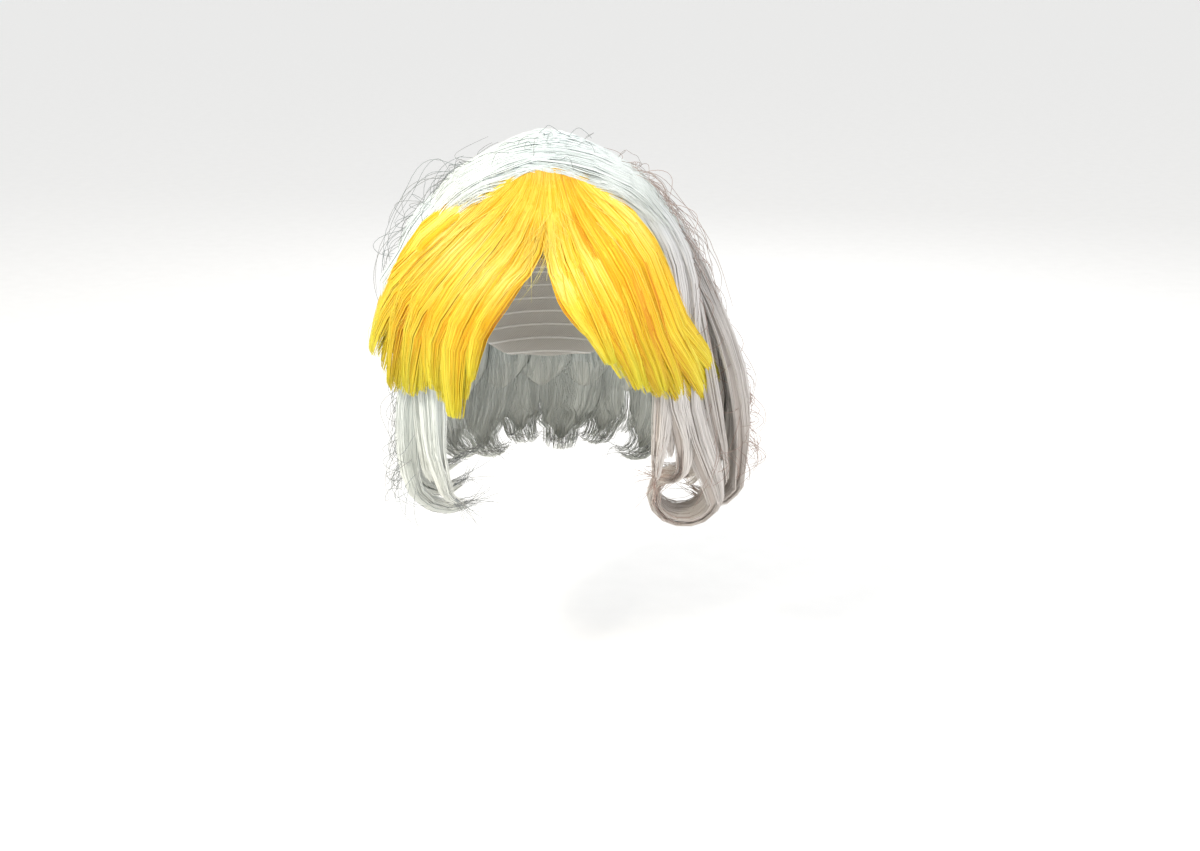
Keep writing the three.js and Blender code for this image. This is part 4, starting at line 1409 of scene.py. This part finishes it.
def loose_guide(head, white, rng, spot):
    """One loose hair: it lifts off the hair in an arc, and either comes back to it or ends in the air."""
    points = 12
    metres_per_station, turn_radius = 0.14, 0.09
    t = np.linspace(0, 1, points)
    length = spot["length"] * MM * rng.uniform(0.5, 1.6)
    height = spot["height"] * MM * rng.uniform(0.3, 1.4)
    heading = rng.normal(0, 0.7)
    curve = rng.uniform(-1.5, 1.5) * t * t
    down = np.cumsum(np.cos(heading + curve)) / points * length
    side = np.cumsum(np.sin(heading + curve)) / points * length
    station = rng.uniform(spot["from_station"], spot["to_station"]) + down / metres_per_station
    azimuth = rng.uniform(spot["from_azimuth"], spot["to_azimuth"]) + np.degrees(side / turn_radius)
    arc = np.sin(t * math.pi * rng.uniform(0.55, 1.0))
    station = np.minimum(np.abs(station), 1.85)
    lift = outer_lift(head, white, azimuth, station) - 1.5 * MM + (height + 1.5 * MM) * arc
    return {
        "point": head.on(azimuth, station, lift),
        "across": np.full((points, 3), 0.2 * MM),
        "inward": np.zeros((points, 3)),
        "along": t,
        "tone": np.full(points, spot["tone"] + rng.uniform(-0.15, 0.15)),
    }


def arc_guide(head, white, rng, arc):
    """One long hair in an arc over three places, a little off each."""
    points = 18
    t = np.linspace(0, 1, points)
    knots = np.array([
        (arc["from_azimuth"], arc["from_station"], -1.0),
        (arc["over_azimuth"], arc["over_station"], arc["over_height"]),
        (arc["to_azimuth"], arc["to_station"], arc["to_height"]),
    ])
    knots += rng.normal(size=(3, 3)) * (1.2, 0.015, 0.8)
    azimuth, station, height = along_knots(knots, t).T
    lift = outer_lift(head, white, azimuth, station) + height * MM
    return {
        "point": head.on(azimuth, station, lift),
        "across": np.full((points, 3), 0.3 * MM),
        "inward": np.zeros((points, 3)),
        "along": t,
        "tone": np.full(points, arc["tone"]),
    }


def frayed_guides(head, section, rows, rng, tone):
    """Single hairs that splay out past the ends of a section's locks."""
    guides = []
    for row in rows:
        lock = Lock(head, section, row)
        for _ in range(FRAYED_PER_LOCK):
            s = np.linspace(rng.uniform(0.78, 0.92), 1.0, 5)
            u = rng.uniform(-0.9, 0.9)
            on_lock = lock.at(s, u + 0.5 * u * (s - s[0]), lock.outer(s, np.full(5, u)) * rng.uniform(0, 1))
            ahead = unit(on_lock[-1] - on_lock[-2])
            sideways = unit(rng.normal(size=3))
            t = np.linspace(0, 1, 6)[1:, None] * rng.uniform(0.4, 1.2) * FRAYED_REACH
            beyond = on_lock[-1] + ahead * t + sideways * t * t / FRAYED_REACH * 0.7
            point = np.concatenate([on_lock, beyond])
            guides.append({
                "point": point,
                "across": np.full((10, 3), 0.2 * MM),
                "inward": np.zeros((10, 3)),
                "along": np.linspace(0, 1, 10),
                "tone": np.full(10, tone + rng.uniform(-0.15, 0.15)),
            })
    return guides


class WIG_OT_loose_hair(bpy.types.Operator):
    """Lets single hairs stand off all round the white hair"""

    bl_idname = "wig.loose_hair"
    bl_label = "Loose Hair"

    def execute(self, context):
        head = HeadForm(context.scene.wig_head)
        white = context.scene.wig_white
        rng = np.random.default_rng(81)
        low = np.array(CAD_BOX[0]) - LOOSE_MARGIN
        high = np.array(CAD_BOX[1]) + LOOSE_MARGIN
        guides = []
        for row in LOOSE_HAIR:
            spot = dict(zip(LOOSE_COLUMNS, row))
            for _ in range(spot["count"]):
                guide = loose_guide(head, white, rng, spot)
                azimuths, stations = head.place_of(guide["point"])
                over_fringe = (azimuths > -72) & (azimuths < 60) & (stations > 0.36) & (stations < 1.4)
                if (guide["point"] > low).all() and (guide["point"] < high).all() and not over_fringe.any():
                    guides.append(guide)
        for row in ARC_HAIR:
            guide = arc_guide(head, white, rng, dict(zip(ARC_COLUMNS, row)))
            if (guide["point"] > low).all() and (guide["point"] < high).all():
                guides.append(guide)
        # Frayed hairs on the right take the painted brown of warm shade, the others painted cool grey
        for rows, volume, width, tone in (
            (LEFT_SIDE, white.left_volume, white.side_width, 0.2),
            (RIGHT_SIDE, white.right_volume, white.side_width, 0.85),
            (BACK, white.back_volume, white.back_width, 0.3),
        ):
            guides += frayed_guides(head, white_section(context, volume, width), rows, rng, tone)
        material = hair_material("loose_strands", LOOSE_WARM_SHADE, LOOSE_MIDDLE, LOOSE_GREY, 0.5)
        piece = grow_strands(
            "loose_hair", guides, material, strands=1, radius=0.0002, tip=0.6, uneven=0.0,
            frizz=0.0016, ripple=0.0, wisps=0.0, tone_spread=0.2, seed=81,
        )
        attach(piece, "white_hair", "crown", "side_left", "side_right", "back")
        return {"FINISHED"}


class WIG_OT_stage(bpy.types.Operator):
    """Sets the pale floor, the soft studio light and the camera"""

    bl_idname = "wig.stage"
    bl_label = "Stage"

    def execute(self, context):
        stage = context.scene.wig_stage
        scene = context.scene
        floor_mesh = bpy.data.meshes.new("floor")
        signs = ((-1, -1), (1, -1), (1, 1), (-1, 1))
        corners = [(x * FLOOR_REACH, y * FLOOR_REACH, -stage.floor_drop) for x, y in signs]
        floor_mesh.from_pydata(corners, [], [(0, 1, 2, 3)])
        material, nodes, shader = new_material("pale_floor")
        place = nodes.add("ShaderNodeTexCoord", None, None, "Object")
        grain = nodes.add("ShaderNodeTexNoise", None, {"Vector": place, "Scale": 40.0, "Detail": 3.0}, "Fac")
        nodes.feed(shader["Base Color"], nodes.mixed(grain, colour("f4f4f3"), colour("fafaf9")))
        shader["Roughness"].default_value = 0.8
        floor_mesh.materials.append(material)
        floor = bpy.data.objects.new("floor", floor_mesh)
        scene.collection.objects.link(floor)

        world = bpy.data.worlds.new("studio")
        world.use_nodes = True
        background = world.node_tree.nodes["Background"]
        background.inputs["Color"].default_value = colour("ffffff")
        background.inputs["Strength"].default_value = stage.sky
        scene.world = world

        for name, share, spread, spot, tint in LAMPS:
            lamp = bpy.data.lights.new(name, "AREA")
            lamp.energy = share * (stage.key if name == "key" else stage.fill)
            lamp.size = spread
            lamp.color = colour(tint)[:3]
            light = bpy.data.objects.new(name, lamp)
            light.location = spot
            light.rotation_mode = "QUATERNION"
            light.rotation_quaternion = (Vector(LAMP_AIM) - Vector(spot)).to_track_quat("-Z", "Y")
            scene.collection.objects.link(light)

        lens = bpy.data.cameras.new("camera")
        lens.lens = 44.4
        lens.sensor_width = 36.0
        camera = bpy.data.objects.new("camera", lens)
        camera.location = CAMERA_PLACE
        toward = Vector(CAMERA_AIM) - camera.location
        camera.rotation_mode = "QUATERNION"
        camera.rotation_quaternion = toward.to_track_quat("-Z", "Y")
        scene.collection.objects.link(camera)
        scene.camera = camera
        scene.view_settings.view_transform = "Standard"
        return {"FINISHED"}


OPERATORS = (
    WIG_OT_cap, WIG_OT_crown, WIG_OT_sides, WIG_OT_back, WIG_OT_fringe, WIG_OT_loose_hair, WIG_OT_stage,
)
SETTINGS = {"wig_head": WigHead, "wig_white": WigWhite, "wig_yellow": WigYellow, "wig_stage": WigStage}


class WIG_PT_panel(bpy.types.Panel):
    """Lists the wig's sizes and the steps that build it"""

    bl_idname = "WIG_PT_panel"
    bl_label = "Wig"
    bl_space_type = "VIEW_3D"
    bl_region_type = "UI"
    bl_category = "Wig"

    def draw(self, context):
        for name, group in SETTINGS.items():
            column = self.layout.column(align=True)
            for key in group.__annotations__:
                column.prop(getattr(context.scene, name), key)
        for operator in OPERATORS:
            self.layout.operator(operator.bl_idname)


def register():
    for group in (*SETTINGS.values(), *OPERATORS, WIG_PT_panel):
        bpy.utils.register_class(group)
    for name, group in SETTINGS.items():
        setattr(bpy.types.Scene, name, bpy.props.PointerProperty(type=group))


def unregister():
    for name in SETTINGS:
        delattr(bpy.types.Scene, name)
    for group in (WIG_PT_panel, *reversed(OPERATORS), *reversed(SETTINGS.values())):
        bpy.utils.unregister_class(group)


def main():
    """Builds every piece in order."""
    register()
    for operator in OPERATORS:
        family, name = operator.bl_idname.split(".")
        getattr(getattr(bpy.ops, family), name)()


if __name__ == "__main__":
    main()
